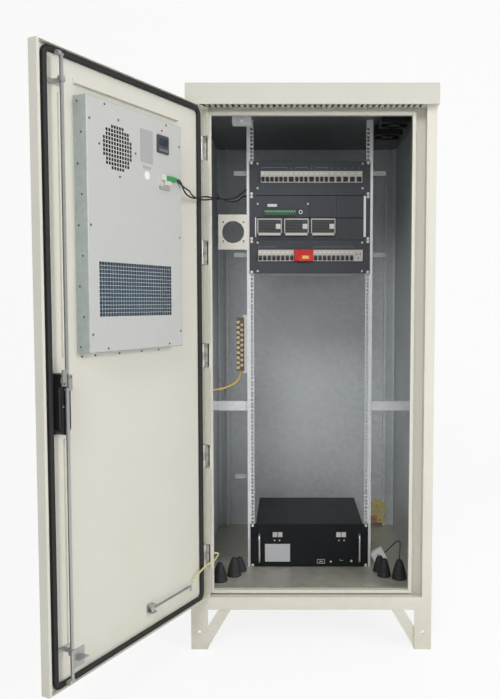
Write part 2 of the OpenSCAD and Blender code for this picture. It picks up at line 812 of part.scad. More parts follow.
// Count, width in poles, shade and toggles of each group of breakers
upper_rows = [[6, 1, 0, 1], [1, 1.5, 0, 1], [3, 1, 0, 1], [1, 1.5, 0, 1], [3, 1, 0, 1], [5, 1.5, 0, 1]];
lower_rows = [[1, 3, 0, 3], [1, 1, 1, 1], [1, 4, 0, 4]];
lower_tail = [[9, 1, 1, 1], [1, 2, 0, 0]];
upper_x = -196;
lower_x = -207;
surge_w = 77;
function row_width(rows) = pole_w * [for (r = rows) r[0] * r[1]] * [for (r = rows) 1];

module face_panel(foot, x0, x1) {
    z = breaker_z(foot);
    upright(rack_y, face_t) difference() {
        translate([-ear_x, foot + fit]) square([2 * ear_x, 3 * unit - 2 * fit]);
        translate([x0 - 1, z - nose_h / 2 - 1]) square([x1 - x0 + 2, nose_h + 2]);
        screw_holes(rail_screws);
    }
}

module upper_breaker_panel() {
    color(dark_grey) from_front() face_panel(top_z, upper_x, upper_x + row_width(upper_rows));
}

module lower_breaker_panel() {
    tail = row_width(lower_rows) + surge_w + row_width(lower_tail);
    color(dark_grey) from_front() face_panel(sub_z, lower_x, lower_x + tail);
}

module breaker(w, toggles) {
    nose = 6;
    seam = 0.3;
    slab([seam, rack_y - nose, -nose_h / 2], [w - seam, rack_y + nose_in, nose_h / 2]);
    slab([seam, breaker_y, -breaker_h / 2], [w - seam, din_y, breaker_h / 2]);
    // Toggle in the lower half of each pole
    if (toggles > 0) for (k = [0 : toggles - 1]) {
        toggle_w = 0.68 * w / toggles;
        translate([(k + 0.5) * w / toggles - toggle_w / 2, rack_y - nose, 0]) rotate([90, 0, 90])
            linear_extrude(toggle_w) polygon([[1, -20], [-3, -19], [-9, -9], [-7, -4], [1, 1]]);
    }
}

module breaker_row(rows, x, z) {
    for (g = [0 : len(rows) - 1]) {
        start = x + (g == 0 ? 0 : row_width([for (k = [0 : g - 1]) rows[k]]));
        w = rows[g][1] * pole_w;
        for (i = [0 : rows[g][0] - 1]) translate([start + i * w, 0, z])
            color(rows[g][2] == 0 ? cream : zinc) breaker(w, rows[g][3]);
    }
}

module upper_breakers() { from_front() breaker_row(upper_rows, upper_x, breaker_z(top_z)); }

module lower_breakers() {
    x1 = lower_x + row_width(lower_rows) + surge_w;
    from_front() {
        breaker_row(lower_rows, lower_x, breaker_z(sub_z));
        breaker_row(lower_tail, x1, breaker_z(sub_z));
    }
}

module surge_cover() {
    x0 = lower_x + row_width(lower_rows) + fit;
    x1 = x0 + surge_w - 2 * fit;
    z = breaker_z(sub_z);
    reach = 14;
    color([0.75, 0.10, 0.08]) from_front() {
        slab([x0, rack_y - reach, z - nose_h / 2], [x1, rack_y + nose_in, z + nose_h / 2]);
        slab([x0, breaker_y, z - breaker_h / 2], [x1, din_y, z + breaker_h / 2]);
    }
}

plug_rise = case_t + 0.3;
plug_h = 80;
plug_side = 2;
function bay_x(i) = -subrack_half + case_t + i * bay_w;

module plug_in_front(x0, x1, z0) {
    z1 = z0 + 2 * unit - case_t * 1.5 - 2;
    upright(rack_y, face_t) translate([x0 + fit, z0]) square([x1 - x0 - 2 * fit, z1 - z0]);
}

module controller_unit() {
    z0 = row_z + plug_rise;
    x0 = bay_x(0);
    x1 = bay_x(2);
    screen_at = [42, 40];
    screen = [70, 16];
    block_at = [34, 8];
    block = [124, 9, 20];
    knob_at = [178, 20];
    knob_d = 16;
    knob_t = 5;
    rear_gap = 60;
    color(dark_grey) from_front() {
        difference() {
            plug_in_front(x0, x1, z0);
            translate([x0 + screen_at[0], rack_y - 1, z0 + screen_at[1]])
                cube([screen[0], face_t / 2 + 1, screen[1]]);
        }
        slab([x0 + plug_side, rail_y, z0], [x1 - plug_side, rail_y + subrack_d - rear_gap, z0 + plug_h]);
        translate([x0 + block_at[0], rack_y - block[1], z0 + block_at[1]]) cube(block);
        translate([x0 + knob_at[0], 0, z0 + knob_at[1]]) rod_along_y(knob_d, rack_y - knob_t, rack_y);
    }
}

module blank_covers() {
    z_up = row_z + plug_rise;
    z_low = mid_z + plug_rise;
    fold = 20;
    fold_in = 3;
    color(dark_grey) from_front() for (b = [[2, z_up], [3, z_up], [3, z_low]]) {
        plug_in_front(bay_x(b[0]), bay_x(b[0] + 1), b[1]);
        slab([bay_x(b[0]) + fold_in, rack_y + 1, b[1]],
            [bay_x(b[0] + 1) - fold_in, rail_y + fold, b[1] + sheet]);
    }
}

module rectifier(i) {
    z0 = mid_z + plug_rise;
    x0 = bay_x(i);
    x1 = bay_x(i + 1);
    mid = (x0 + x1) / 2;
    vents = 9;
    vent_at = [14, 36];
    vent_pitch = 9;
    vent = [5, 9, 36];
    grip = [88, 16, 10];
    grip_z = z0 + 16;
    bar_t = 4;
    post = 6;
    color(dark_grey) from_front() {
        difference() {
            union() {
                plug_in_front(x0, x1, z0);
                slab([x0 + plug_side, rail_y, z0], [x1 - plug_side, rack_y + rectifier_d, z0 + plug_h]);
            }
            for (k = [0 : vents - 1])
                translate([x0 + vent_at[0] + k * vent_pitch, rack_y - 1, z0 + vent_at[1]]) cube(vent);
        }
        // Bar that draws the unit out
        translate([mid - grip[0] / 2, rack_y - grip[1], grip_z]) {
            cube([grip[0], bar_t, grip[2]]);
            for (x = [0, grip[0] - post]) translate([x, 0, 0]) cube([post, grip[1], grip[2]]);
        }
    }
}
module rectifier_1() { rectifier(0); }
module rectifier_2() { rectifier(1); }
module rectifier_3() { rectifier(2); }

// Battery
battery_z1 = rack_z + battery_units * unit - fit;
handle_z = (rack_z + battery_z1) / 2 - handle_span / 2 - 6;
handle_x = battery_half - handle_in;

module battery_case() {
    seam = 4;
    color(dark_grey) from_front() difference() {
        union() {
            slab([-battery_half, rack_y, rack_z], [battery_half, rack_y + battery_d, battery_z1]);
            upright(rack_y, face_t) difference() {
                translate([-ear_x, rack_z + fit]) square([2 * ear_x, battery_z1 - rack_z - fit]);
                screw_holes(battery_screws);
            }
        }
        // Seam of the front cover
        upright(rack_y - 1, 2)
            ring([-battery_half + seam, rack_z + seam], [battery_half - seam, battery_z1 - seam], 2, 6);
    }
}

module bar_handle() {
    bend = 14;
    for (x = [0, handle_span]) translate([x, rack_y - handle_reach + bend, 0])
        rod_along_y(handle_d, 0, handle_reach - bend);
    translate([0, rack_y - handle_reach, 0]) rod_x(handle_d, bend, handle_span - bend);
    translate([bend, rack_y - handle_reach + bend, 0]) rotate([0, 0, 180]) rotate_extrude(angle = 90)
        translate([bend, 0]) circle(d = handle_d);
    translate([handle_span - bend, rack_y - handle_reach + bend, 0]) rotate([0, 0, 270])
        rotate_extrude(angle = 90) translate([bend, 0]) circle(d = handle_d);
}
module battery_handles() {
    color(steel) from_front() for (x = [-handle_x, handle_x]) translate([x, 0, handle_z]) rotate([0, -90, 0])
        bar_handle();
}

module battery_terminals() {
    z = battery_z1 - 41;
    block = [22, 8, 12];
    pole = [9, 4, 10];
    pole_x = 10.5;
    port = [36, 5, 22];
    port_at = [30, 12];
    button_d = 12;
    button_at = [handle_x - 31, 24];
    from_front() color(black) {
        for (x = [-terminal_x, terminal_x]) translate([x, rack_y, z]) {
            slab([-block[0], -block[1], -block[2]], [block[0], 0, block[2]]);
            for (s = [-pole_x, pole_x])
                slab([s - pole[0], -block[1] - pole[1], -pole[2]], [s + pole[0], -block[1], pole[2]]);
        }
        translate([port_at[0], rack_y - port[1], rack_z + port_at[1]]) cube(port);
        translate([button_at[0], 0, rack_z + button_at[1]]) rod_along_y(button_d, rack_y - port[1], rack_y);
    }
}

// Door
lock_cut = [30, 172];
module lock_opening(grow) {
    translate([lock_x - lock_cut[0] / 2 - grow, axis_z - lock_cut[1] + 18 - grow])
        square([lock_cut[0] + 2 * grow, lock_cut[1] + 2 * grow]);
}
module ac_opening() {
    translate([ac_x0 + ac_rim, ac_z0 + ac_rim]) square([ac_w - 2 * ac_rim, ac_h - 2 * ac_rim]);
}

module door_leaf() {
    notch = hinge_h + 2 * hinge_clear;
    color(paint) on_door() difference() {
        union() {
            upright(0, sheet) difference() {
                translate([-door_x, door_z0]) square([2 * door_x, door_z1 - door_z0]);
                ac_opening();
                lock_opening(0);
            }
            for (x = [-door_x, door_x - sheet]) slab([x, 0, door_z0], [x + sheet, door_t, door_z1]);
            for (z = [door_z0, door_z1 - sheet]) slab([-door_x, 0, z], [door_x, door_t, z + sheet]);
            slab([door_x - door_flange, door_t - sheet, door_z0], [door_x, door_t, door_z1]);
        }
        for (i = [0 : hinge_count - 1])
            slab([-door_x - 1, sheet, hinge_z(i) - notch / 2],
                [-door_x + sheet + 1, door_t + 1, hinge_z(i) + notch / 2]);
    }
}

module door_liner() {
    rib = [18, 6];
    rib_x = open_x - 68;
    ledge = [14, 16];
    color(paint) on_door() {
        upright(sheet, liner_t) difference() {
            translate([-liner_x, door_z0 + sheet]) square([2 * liner_x, door_z1 - door_z0 - 2 * sheet]);
            ac_opening();
            lock_opening(0);
        }
        // Stiffener beside the lock and drip ledge over the air conditioner
        for (z = [[door_z0 + 120, ac_z0 - 240], [axis_z + 60, door_z1 - 120]])
            slab([rib_x, liner_y, z[0]], [rib_x + rib[0], liner_y + rib[1], z[1]]);
        slab([ac_x0 - 40, liner_y, ac_z1 + 32], [ac_x1, liner_y + ledge[0], ac_z1 + 32 + sheet]);
        slab([ac_x0 - 40, liner_y, ac_z1 + 32], [ac_x1, liner_y + sheet, ac_z1 + 32 + ledge[1]]);
    }
}

module door_gasket() {
    grow = lip_w + 1;
    color(black) on_door() upright(liner_y, lip_y - gasket_gap - liner_y)
        ring([-open_x - grow, open_z0 - grow], [open_x + grow, open_z1 + grow], grow + gasket_in, 30);
}

// Air conditioner
module ac_chassis() {
    lap = ac_rim - 2;
    play = 0.5;
    low = [ac_x0 + ac_rim + play, ac_z0 + ac_rim + play];
    high = [ac_x1 - ac_rim - play, ac_z1 - ac_rim - play];
    color(zinc) on_door() {
        upright(-ac_out + 6, ac_out + liner_y + 22) difference() {
            translate(low) square(high - low);
            translate(low + [sheet, sheet]) square(high - low - 2 * [sheet, sheet]);
        }
        upright(divider_y, sheet) translate(low) square(high - low);
        upright(liner_y, sheet) difference() {
            translate([ac_x0 + ac_rim - lap, ac_z0 + ac_rim - lap])
                square([ac_w - 2 * (ac_rim - lap), ac_h - 2 * (ac_rim - lap)]);
            translate(low + [sheet / 2, sheet / 2]) square(high - low - [sheet, sheet]);
        }
        // Motor boss and shaft of the blower
        translate([round_x, 0, round_z]) rod_along_y(46, divider_y + 1, divider_y + 12);
        translate([round_x, 0, round_z]) rod_along_y(pin_d, divider_y + 11, liner_y + 30);
    }
}

module round_grille() {
    reach = floor(round_d / mesh_pitch / 2);
    limit = round_d / 2 - mesh_hole * 0.7;
    for (i = [-reach : reach], k = [-reach : reach])
        if (norm([i, k]) * mesh_pitch < limit)
            translate([round_x + i * mesh_pitch - mesh_hole / 2, round_z + k * mesh_pitch - mesh_hole / 2])
                square(mesh_hole);
}

module square_grille() {
    for (i = [0 : mesh_cols - 1], k = [0 : mesh_rows - 1])
        translate([coil_x + (i - (mesh_cols - 1) / 2) * mesh_pitch - mesh_hole / 2,
            coil_z + (k - (mesh_rows - 1) / 2) * mesh_pitch - mesh_hole / 2]) square(mesh_hole);
}

module ac_inner_cover() {
    wall = 1.5;
    color(paint) on_door() {
        upright(ac_face - wall, wall) difference() {
            translate([ac_x0, ac_z0]) square([ac_w, ac_h]);
            round_grille();
            square_grille();
        }
        upright(liner_y, ac_d) difference() {
            translate([ac_x0, ac_z0]) square([ac_w, ac_h]);
            translate([ac_x0 + wall, ac_z0 + wall]) square([ac_w - 2 * wall, ac_h - 2 * wall]);
        }
    }
}

module evaporator_coil() {
    fins = 40;
    fin_t = 2;
    depth = 24;
    h = mesh_rows * mesh_pitch + 20;
    gap = coil_w / fins;
    color([0.75, 0.76, 0.77]) on_door() translate([coil_x - coil_w / 2, divider_y + sheet, coil_z - h / 2])
        linear_extrude(h) {
            square([coil_w, 6]);
            for (i = [0 : fins - 1]) translate([i * gap, 0]) square([fin_t, depth]);
        }
}

module blower_wheel() {
    y0 = divider_y + 12.3;
    d = round_d - 14;
    vanes = 18;
    depth = 26;
    color(black) on_door() translate([round_x, y0 + depth, round_z]) rotate([90, 0, 0]) {
        difference() {
            union() {
                translate([0, 0, depth - 3]) cylinder(d = d, h = 3);
                difference() {
                    cylinder(d = d, h = 3);
                    translate([0, 0, -1]) cylinder(d = d - 36, h = 5);
                }
                for (a = [0 : vanes - 1]) rotate(a * 360 / vanes) translate([d / 2 - 12, 0, 0]) rotate(35)
                    slab([-8, -1, 1], [9, 1, depth - 1]);
                cylinder(d = 30, h = depth);
            }
            translate([0, 0, -1]) cylinder(d = pin_d + 0.6, h = depth + 2);
        }
    }
}

module ac_outer_cover() {
    wall = 2;
    louvres = 9;
    color(paint) on_door() {
        upright(-ac_out, wall) difference() {
            rounded([ac_x0, ac_z0], [ac_x1, ac_z1], 10);
            for (z = [ac_z0 + 60, ac_z1 - 300], i = [0 : louvres - 1])
                rounded([ac_x0 + 60, z + i * 26], [ac_x1 - 60, z + i * 26 + 10], 4);
        }
        upright(-ac_out, ac_out) ring([ac_x0, ac_z0], [ac_x1, ac_z1], wall, 10);
        for (z = [ac_z0 + 60, ac_z1 - 300], i = [0 : louvres - 1])
            translate([0, -ac_out, z + i * 26 + 10]) rotate([-35, 0, 0])
                slab([ac_x0 + 62, 0.5, -wall / 2], [ac_x1 - 62, 14, wall / 2]);
    }
}

module ac_display() {
    size = [59, 57];
    at = [ac_x - 153, ac_z1 - 106];
    window = [45, 24];
    window_at = at + [7, 24];
    t = 5;
    color(black) on_door() difference() {
        upright(ac_face, t) rounded(at, at + size, 4);
        upright(ac_face + t - 1, 2) rounded(window_at, window_at + window, 2);
    }
}

module ac_plug() {
    pins = 8;
    pitch = 9.4;
    pin_bore = 4;
    block = [77, 9, 15];
    block_at = [ac_x - 191, ac_face, ac_z1 - 189];
    bar = [51, 6, 9];
    bar_at = [ac_x - 156, ac_face, ac_z1 - 220];
    color([0.16, 0.55, 0.24]) on_door() difference() {
        translate(block_at) cube(block);
        for (i = [0 : pins - 1]) translate(block_at + [5 + i * pitch, 5, 9]) cylinder(d = pin_bore, h = 8);
    }
    color(cream) on_door() translate(bar_at) cube(bar);
}

// Lock
module lock_housing() {
    foot = lock_cut[1] - 18;
    half = lock_cut[0] / 2 - fit;
    color(black) on_door() difference() {
        union() {
            // Body behind the door, round at its foot
            translate([lock_x, 0, axis_z]) upright(0, cam_y - cam_t - 0.4) {
                translate([-half, -foot + half + fit]) square([2 * half, foot + 18 - half - 2 * fit]);
                translate([0, -foot + half + fit]) circle(half);
            }
            // Outer plate that the handle lies on
            translate([lock_x, 0, axis_z]) upright(-plate_out, plate_out)
                rounded([-half - 7, -foot - 8], [half + 7, 18 + 8], 14);
        }
        translate([lock_x, 0, axis_z]) rod_along_y(spindle_d + 0.6, -plate_out - 1, cam_y + 1);
    }
}

spindle_d = 12;
spindle_out = 16;
lift_d = 4;
lift_y = -plate_out - 10;
handle_half = 12;

module lock_cam() {
    color(steel) on_door() translate([lock_x, 0, axis_z]) {
        translate([0, cam_y - cam_t, 0]) rod_along_y(2 * cam_r + 10, 0, cam_t);
        for (a = [-45, 135]) translate([cam_r * cos(a), 0, cam_r * sin(a)])
            rod_along_y(cam_pin_d, cam_y - 1, rod_y + rod_t / 2 + 1);
        rod_along_y(spindle_d, -plate_out - spindle_out, cam_y - 1);
        translate([0, lift_y, -handle_half]) cylinder(d = lift_d, h = 2 * handle_half);
    }
}

// Swing handle, turned to the hinge side while the rods are drawn in
module swing_handle() {
    reach = 140;
    cheek_t = 4;
    y1 = -plate_out - 1;
    y0 = -plate_out - 15;
    color(black) on_door() difference() {
        translate([lock_x, 0, axis_z]) {
            upright(y0, y1 - y0) rounded([-reach, -handle_half], [-9, handle_half], 8);
            for (z = [-handle_half, handle_half - cheek_t]) slab([-30, y0, z], [4, y1, z + cheek_t]);
        }
        translate([lock_x, lift_y, axis_z - handle_half - 1])
            cylinder(d = lift_d + pin_play, h = 2 * handle_half + 2);
    }
}

module rod_end() {
    // Slotted plate beside the axis, with a crank back to the rod's line
    slot_h = cam_pin_d + 2 * rod_play;
    x0 = cam_r / sqrt(2) - cam_pin_d / 2 - rod_play - 2;
    x1 = cam_r + cam_pin_d / 2 + rod_play + 2;
    pin_z = -cam_r / sqrt(2);
    upright(rod_y - rod_t / 2, rod_t) difference() {
        union() {
            translate([x0, pin_z - slot_h / 2 - 3]) square([x1 - x0, crank - pin_z + slot_h / 2 + 3]);
            translate([-rod_w / 2, crank - rod_w]) square([x1 + rod_w / 2, rod_w]);
            translate([-rod_w / 2, crank - rod_w]) square([rod_w, rod_w + 5]);
        }
        translate([x0 + 2, pin_z - slot_h / 2]) square([x1 - x0 - 4, slot_h]);
    }
}

module lock_rod(dir, end_z) {
    span = abs(end_z - axis_z);
    roller_w = 12;
    axle_d = 6;
    axle_end = 3;
    color(steel) on_door() {
        translate([lock_x, 0, axis_z]) rotate([0, dir < 0 ? 180 : 0, 0]) {
            rod_end();
            slab([-rod_w / 2, rod_y - rod_t / 2, crank], [rod_w / 2, rod_y + rod_t / 2, span]);
        }
        translate([lock_x, rod_y, end_z]) {
            rod_x(roller_d, rod_w / 2 - rod_play, rod_w / 2 + roller_w);
            rod_x(axle_d, -rod_w / 2 - axle_end, rod_w / 2 + 1);
        }
    }
}
module upper_rod() { lock_rod(1, head_z); }
module lower_rod() { lock_rod(-1, foot_z); }

module door_guides() {
    h = 14;
    wall = 3;
    left = lock_x - 32;
    right = lock_x + 18;
    inner = [rod_w / 2 + rod_play, rod_t / 2 + rod_play];
    side = inner[0] + wall;
    cap_y = rod_y + inner[1] + wall;
    base_y = liner_y + wall;
    color(steel) on_door() {
        for (z = guide_z) difference() {
            slab([left, liner_y, z - h / 2], [right, cap_y, z + h / 2]);
            slab([lock_x - inner[0], rod_y - inner[1], z - h], [lock_x + inner[0], rod_y + inner[1], z + h]);
            slab([left - 1, base_y, z - h], [lock_x - side, cap_y + 1, z + h]);
            slab([lock_x - inner[0], base_y, z - h], [right + 1, rod_y - inner[1] - wall, z + h]);
            slab([lock_x + side, base_y, z - h], [right + 1, cap_y + 1, z + h]);
        }
        translate([stay_x, liner_y, stay_z]) stay_bracket(wall);
        translate([stay_clip_x, liner_y, door_z0 + stay_clip_z]) stay_clip(wall);
    }
}

stay_x = -62;
stay_z = 284;
stay_len = 222;
stay_d = 8;
stay_pin_d = 6;
stay_out = 16;
stay_clip_x = 250;
stay_clip_z = 30;

// Fork with the pin that the stay turns on
module stay_bracket(wall) {
    half = [12, 14];
    out = 26;
    inner_h = 10;
    difference() {
        slab([-half[0], 0, -half[1]], [half[0], out, half[1]]);
        slab([-half[0] - 1, wall, -inner_h], [half[0] + 1, out + 1, inner_h]);
    }
    translate([0, stay_out, -half[1]]) cylinder(d = stay_pin_d, h = 2 * half[1]);
}

// Angle that takes the end of a stay
module stay_clip(wall) {
    size = [40, 22, 55];
    shelf_z = 25;
    cube([size[0], wall, size[2]]);
    translate([0, 0, shelf_z]) cube([size[0], size[1], wall]);
}

module door_stay() {
    play = 0.4;
    eye = 14;
    eye_half = 9;
    hook = [-18, 4];
    color(steel) on_door() translate([stay_x, liner_y + stay_out, stay_z]) {
        difference() {
            translate([0, 0, -eye_half]) cylinder(d = eye, h = 2 * eye_half);
            translate([0, 0, -eye_half - 1]) cylinder(d = stay_pin_d + 2 * play, h = 2 * eye_half + 2);
        }
        rod_x(stay_d, -stay_len, -eye / 2 + 1);
        translate([-stay_len, 0, hook[0]]) cylinder(d = stay_d, h = hook[1] - hook[0]);
    }
}

plinth_frame();
floor_pan();
left_side_panel();
right_side_panel();
rear_panel();
ceiling_panel();
front_frame();
roof_cap();
left_rack_rail();
right_rack_rail();
rail_brackets();
hinge_frame_leaves();
hinge_pins();
cable_glands();
door_switch();
exhaust_fan_frames();
exhaust_impeller_1();
exhaust_impeller_2();
fan_mount_plate();
earth_bar();
earth_plate();
water_sensor();
sensor_lead();
earth_lead();
subrack_chassis();
upper_breaker_panel();
upper_breakers();
controller_unit();
blank_covers();
rectifier_1();
rectifier_2();
rectifier_3();
lower_breaker_panel();
lower_breakers();
surge_cover();
rack_screws();
battery_case();
battery_handles();
battery_terminals();
door_leaf();
door_liner();
door_gasket();
ac_chassis();
ac_inner_cover();
evaporator_coil();
blower_wheel();
ac_outer_cover();
ac_display();
ac_plug();
lock_housing();
lock_cam();
swing_handle();
upper_rod();
lower_rod();
door_guides();
door_stay();
hinge_door_leaves();
door_harness();
bonding_strap();
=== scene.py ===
import math

import bmesh
import bpy
from mathutils import Matrix, Vector


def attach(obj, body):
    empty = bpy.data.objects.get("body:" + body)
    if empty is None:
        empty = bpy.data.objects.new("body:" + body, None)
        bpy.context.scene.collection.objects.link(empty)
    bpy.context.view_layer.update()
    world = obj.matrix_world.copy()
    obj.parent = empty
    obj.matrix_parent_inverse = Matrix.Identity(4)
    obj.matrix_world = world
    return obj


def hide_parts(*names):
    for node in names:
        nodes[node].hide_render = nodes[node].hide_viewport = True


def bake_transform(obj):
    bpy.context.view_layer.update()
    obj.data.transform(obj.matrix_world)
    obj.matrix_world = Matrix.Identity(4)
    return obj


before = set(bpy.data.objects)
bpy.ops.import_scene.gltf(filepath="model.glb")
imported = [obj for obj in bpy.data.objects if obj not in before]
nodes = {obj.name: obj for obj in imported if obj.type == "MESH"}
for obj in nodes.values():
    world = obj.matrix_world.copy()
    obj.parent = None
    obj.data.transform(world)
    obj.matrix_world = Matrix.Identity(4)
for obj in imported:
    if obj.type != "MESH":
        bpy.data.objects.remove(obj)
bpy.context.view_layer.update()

print("cabinet frame loaded:", len(nodes), "solids")

# Sizes are in millimetres, y counted from the front plane of the cabinet
mm = 0.001
frontPlane = -450.0
doorSwing = {"pinX": -400.0, "pinY": 7.0, "angle": 117.0}
cabinetPlace = Matrix.Translation((0, frontPlane * mm, 0)) @ Matrix.Scale(mm, 4)
pinPlace = Matrix.Translation((doorSwing["pinX"], doorSwing["pinY"], 0))
doorTurn = pinPlace @ Matrix.Rotation(-math.radians(doorSwing["angle"]), 4, "Z") @ pinPlace.inverted()
doorPlace = cabinetPlace @ doorTurn
inward, outward = (0, 1, 0), (0, -1, 0)


def addObject(name, data):
    made = bpy.data.objects.new(name, data)
    bpy.context.scene.collection.objects.link(made)
    return made


# Camera at the photograph's stand
cameraSet = {"spot": (-0.0823, -3.1813, 1.3003), "tilt": 86.4, "lens": 38.49, "sensor": 36.0, "shift": -0.0561,
             "far": 60.0}


def setCamera():
    lens = bpy.data.cameras.new("frontView")
    lens.lens, lens.sensor_width, lens.shift_x = cameraSet["lens"], cameraSet["sensor"], cameraSet["shift"]
    lens.clip_end = cameraSet["far"]
    eye = addObject("frontView", lens)
    eye.location = cameraSet["spot"]
    eye.rotation_euler = (math.radians(cameraSet["tilt"]), 0, 0)
    bpy.context.scene.camera = eye


setCamera()


# One socket of a shader or geometry tree, with sums written as plain expressions
class Sock:
    def __init__(self, tree, out):
        self.tree, self.out = tree, out

    def node(self, kind, settings=None, sockets=None, out=0):
        # A list of sockets goes to one input that takes several links
        made = self.tree.nodes.new(kind)
        for key, value in (settings or {}).items():
            setattr(made, key, value)
        for key, value in (sockets or {}).items():
            for item in value if isinstance(value, list) else [value]:
                if isinstance(item, Sock):
                    self.tree.links.new(item.out, made.inputs[key])
                else:
                    made.inputs[key].default_value = item
        return Sock(self.tree, made.outputs[out]) if made.outputs else None

    def other(self, name):
        return Sock(self.tree, self.out.node.outputs[name])

    def sums(self, operation, first, second):
        return self.node("ShaderNodeMath", {"operation": operation}, {0: first, 1: second})

    def __add__(self, other): return self.sums("ADD", self, other)
    def __radd__(self, other): return self.sums("ADD", other, self)
    def __sub__(self, other): return self.sums("SUBTRACT", self, other)
    def __rsub__(self, other): return self.sums("SUBTRACT", other, self)
    def __mul__(self, other): return self.sums("MULTIPLY", self, other)
    def __rmul__(self, other): return self.sums("MULTIPLY", other, self)
    def __truediv__(self, other): return self.sums("DIVIDE", self, other)
    def __gt__(self, other): return self.sums("GREATER_THAN", self, other)
    def __lt__(self, other): return self.sums("LESS_THAN", self, other)

    def clipped(self):
        return self.node("ShaderNodeClamp", None, {"Value": self})

    def axis(self, which):
        return self.node("ShaderNodeSeparateXYZ", None, {"Vector": self}, "xyz".index(which))

    def noise(self, scale, detail=2.0, rough=0.5):
        return self.node("ShaderNodeTexNoise", None,
                         {"Vector": self, "Scale": scale, "Detail": detail, "Roughness": rough})

    def stretched(self, scale):
        return self.node("ShaderNodeMapping", None, {"Vector": self, "Scale": scale})

    def tones(self, low, high):
        return self.node("ShaderNodeMix", {"data_type": "RGBA"}, {0: self, 6: low, 7: high}, 2)

    def bump(self, strength, depth):
        return self.node("ShaderNodeBump", None, {"Height": self, "Strength": strength, "Distance": depth})


def tone(red, green, blue):
    # 8-bit screen colour to linear light
    def linear(v):
        v /= 255
        return v / 12.92 if v <= 0.04045 else ((v + 0.055) / 1.055) ** 2.4
    return (linear(red), linear(green), linear(blue), 1.0)


def dimmed(colour, share):
    return tuple(v * share for v in colour[:3]) + (1.0,)


def makeFinish(name, recipe, second=None, mask=None, coords="Object"):
    # One recipe, or two of them parted by a mask of the place on the piece
    finish = bpy.data.materials.new(name)
    finish.use_nodes = True
    tree = finish.node_tree
    tree.nodes.clear()
    at = Sock(tree, tree.nodes.new("ShaderNodeTexCoord").outputs[coords])

    def shaded(coat):
        return at.node("ShaderNodeBsdfPrincipled", None, coat(at))

    surface = shaded(recipe)
    if second:
        surface = at.node("ShaderNodeMixShader", None, {0: mask(at), 1: surface, 2: shaded(second)})
    at.node("ShaderNodeOutputMaterial", None, {"Surface": surface})
    return finish


def above(which, limit):
    return lambda at: at.axis(which) > limit


def below(which, limit):
    return lambda at: at.axis(which) < limit


def within(half):
    return lambda at: (at.axis("x") < half) * (at.axis("x") > -half)


# Finishes
paintSet = {"light": tone(221, 219, 208), "dark": tone(213, 210, 198), "foot": tone(196, 191, 176),
            "footHigh": 0.34, "peel": 520.0, "cloud": 4.0}
# Cabinet paint a shade darker for the roof cap, which the lamps light more strongly than the walls: painted shade
roofTonesPaintedShade = {"light": tone(206, 204, 193), "dark": tone(198, 195, 184)}
zincSet = {"light": tone(212, 216, 218), "dark": tone(190, 195, 198), "spangle": 55.0, "metal": 0.25}
# Dark copy of the zinc for the ceiling's underside, the air conditioner's inside and the backs of the rails: painted
# shade
darkTonesPaintedShade = {"light": tone(112, 114, 116), "dark": tone(92, 94, 96), "spangle": 55.0, "metal": 0.25}
railSet = {"light": tone(222, 224, 226), "dark": tone(198, 201, 204), "spangle": 90.0, "metal": 0.3}
# Dimmer zinc for the rail brackets above and below the middle band: painted shade
bracketTonesPaintedShade = {"light": tone(158, 160, 158), "dark": tone(134, 136, 134), "spangle": 90.0, "metal": 0.3}
sideSet = {"light": tone(190, 198, 198), "dark": tone(166, 176, 177), "spangle": 70.0, "metal": 0.3}
floorSet = {"light": tone(182, 180, 168), "dark": tone(154, 153, 142), "spangle": 40.0, "metal": 0.3}
steelSet = {"light": tone(205, 206, 205), "dark": tone(168, 169, 168)}
panelSet = {"light": tone(69, 72, 78), "dark": tone(58, 61, 66), "gloss": 0.25}
batterySet = {"light": tone(32, 34, 37), "dark": tone(22, 24, 27), "gloss": 0.12}
grilleSet = {"light": tone(112, 108, 104), "dark": tone(92, 89, 86), "gloss": 0.25}


def paintCoat(shades):
    # Powder coat with faint orange peel, a little soiled at the foot
    def recipe(at):
        cloud = at.noise(paintSet["cloud"], 4)
        grime = (at.noise(14, 5) * 1.6 - 0.35).clipped()
        low = ((paintSet["footHigh"] - at.axis("z")) / paintSet["footHigh"]).clipped() * grime
        colour = low.tones(cloud.tones(shades["light"], shades["dark"]), paintSet["foot"])
        peel = at.noise(paintSet["peel"], 1)
        return {"Base Color": colour, "Roughness": 0.36 + cloud * 0.16, "Normal": peel.bump(0.10, 0.0006)}
    return recipe


def zincCoat(shades):
    # Hot-dip spangle over slow clouds
    def recipe(at):
        cells = at.node("ShaderNodeTexVoronoi", {"feature": "F1"}, {"Vector": at, "Scale": shades["spangle"]}, 1)
        grain = cells.node("ShaderNodeSeparateColor", None, {"Color": cells})
        cloud = at.noise(3, 4)
        colour = (grain * 0.45 + cloud * 0.55).tones(shades["dark"], shades["light"])
        return {"Base Color": colour, "Metallic": shades["metal"], "Roughness": 0.40 + grain * 0.14,
                "Normal": at.noise(300, 2).bump(0.04, 0.0004)}
    return recipe


def brushedSteel(at):
    lines = at.stretched((60, 60, 1200)).noise(1, 3)
    return {"Base Color": lines.tones(steelSet["dark"], steelSet["light"]), "Metallic": 0.9,
            "Roughness": 0.24 + lines * 0.18, "Normal": lines.bump(0.05, 0.0003)}


def moulded(colour, rough=0.42, grain=900.0, swing=0.12):
    # Moulded plastic or rubber with a fine spark grain
    def recipe(at):
        cloud = at.noise(35, 3)
        return {"Base Color": cloud.tones(colour, dimmed(colour, 1 - swing)),
                "Roughness": rough - 0.06 + cloud * 0.12, "Normal": at.noise(grain, 1).bump(0.12, 0.0004)}
    return recipe


def panelCoat(shades, rough):
    # Textured dark powder coat
    def recipe(at):
        cloud = at.noise(8, 4)
        return {"Base Color": cloud.tones(shades["dark"], shades["light"]), "Roughness": rough + cloud * 0.12,
                "Specular IOR Level": shades["gloss"], "Normal": at.noise(750, 2).bump(0.16, 0.0005)}
    return recipe


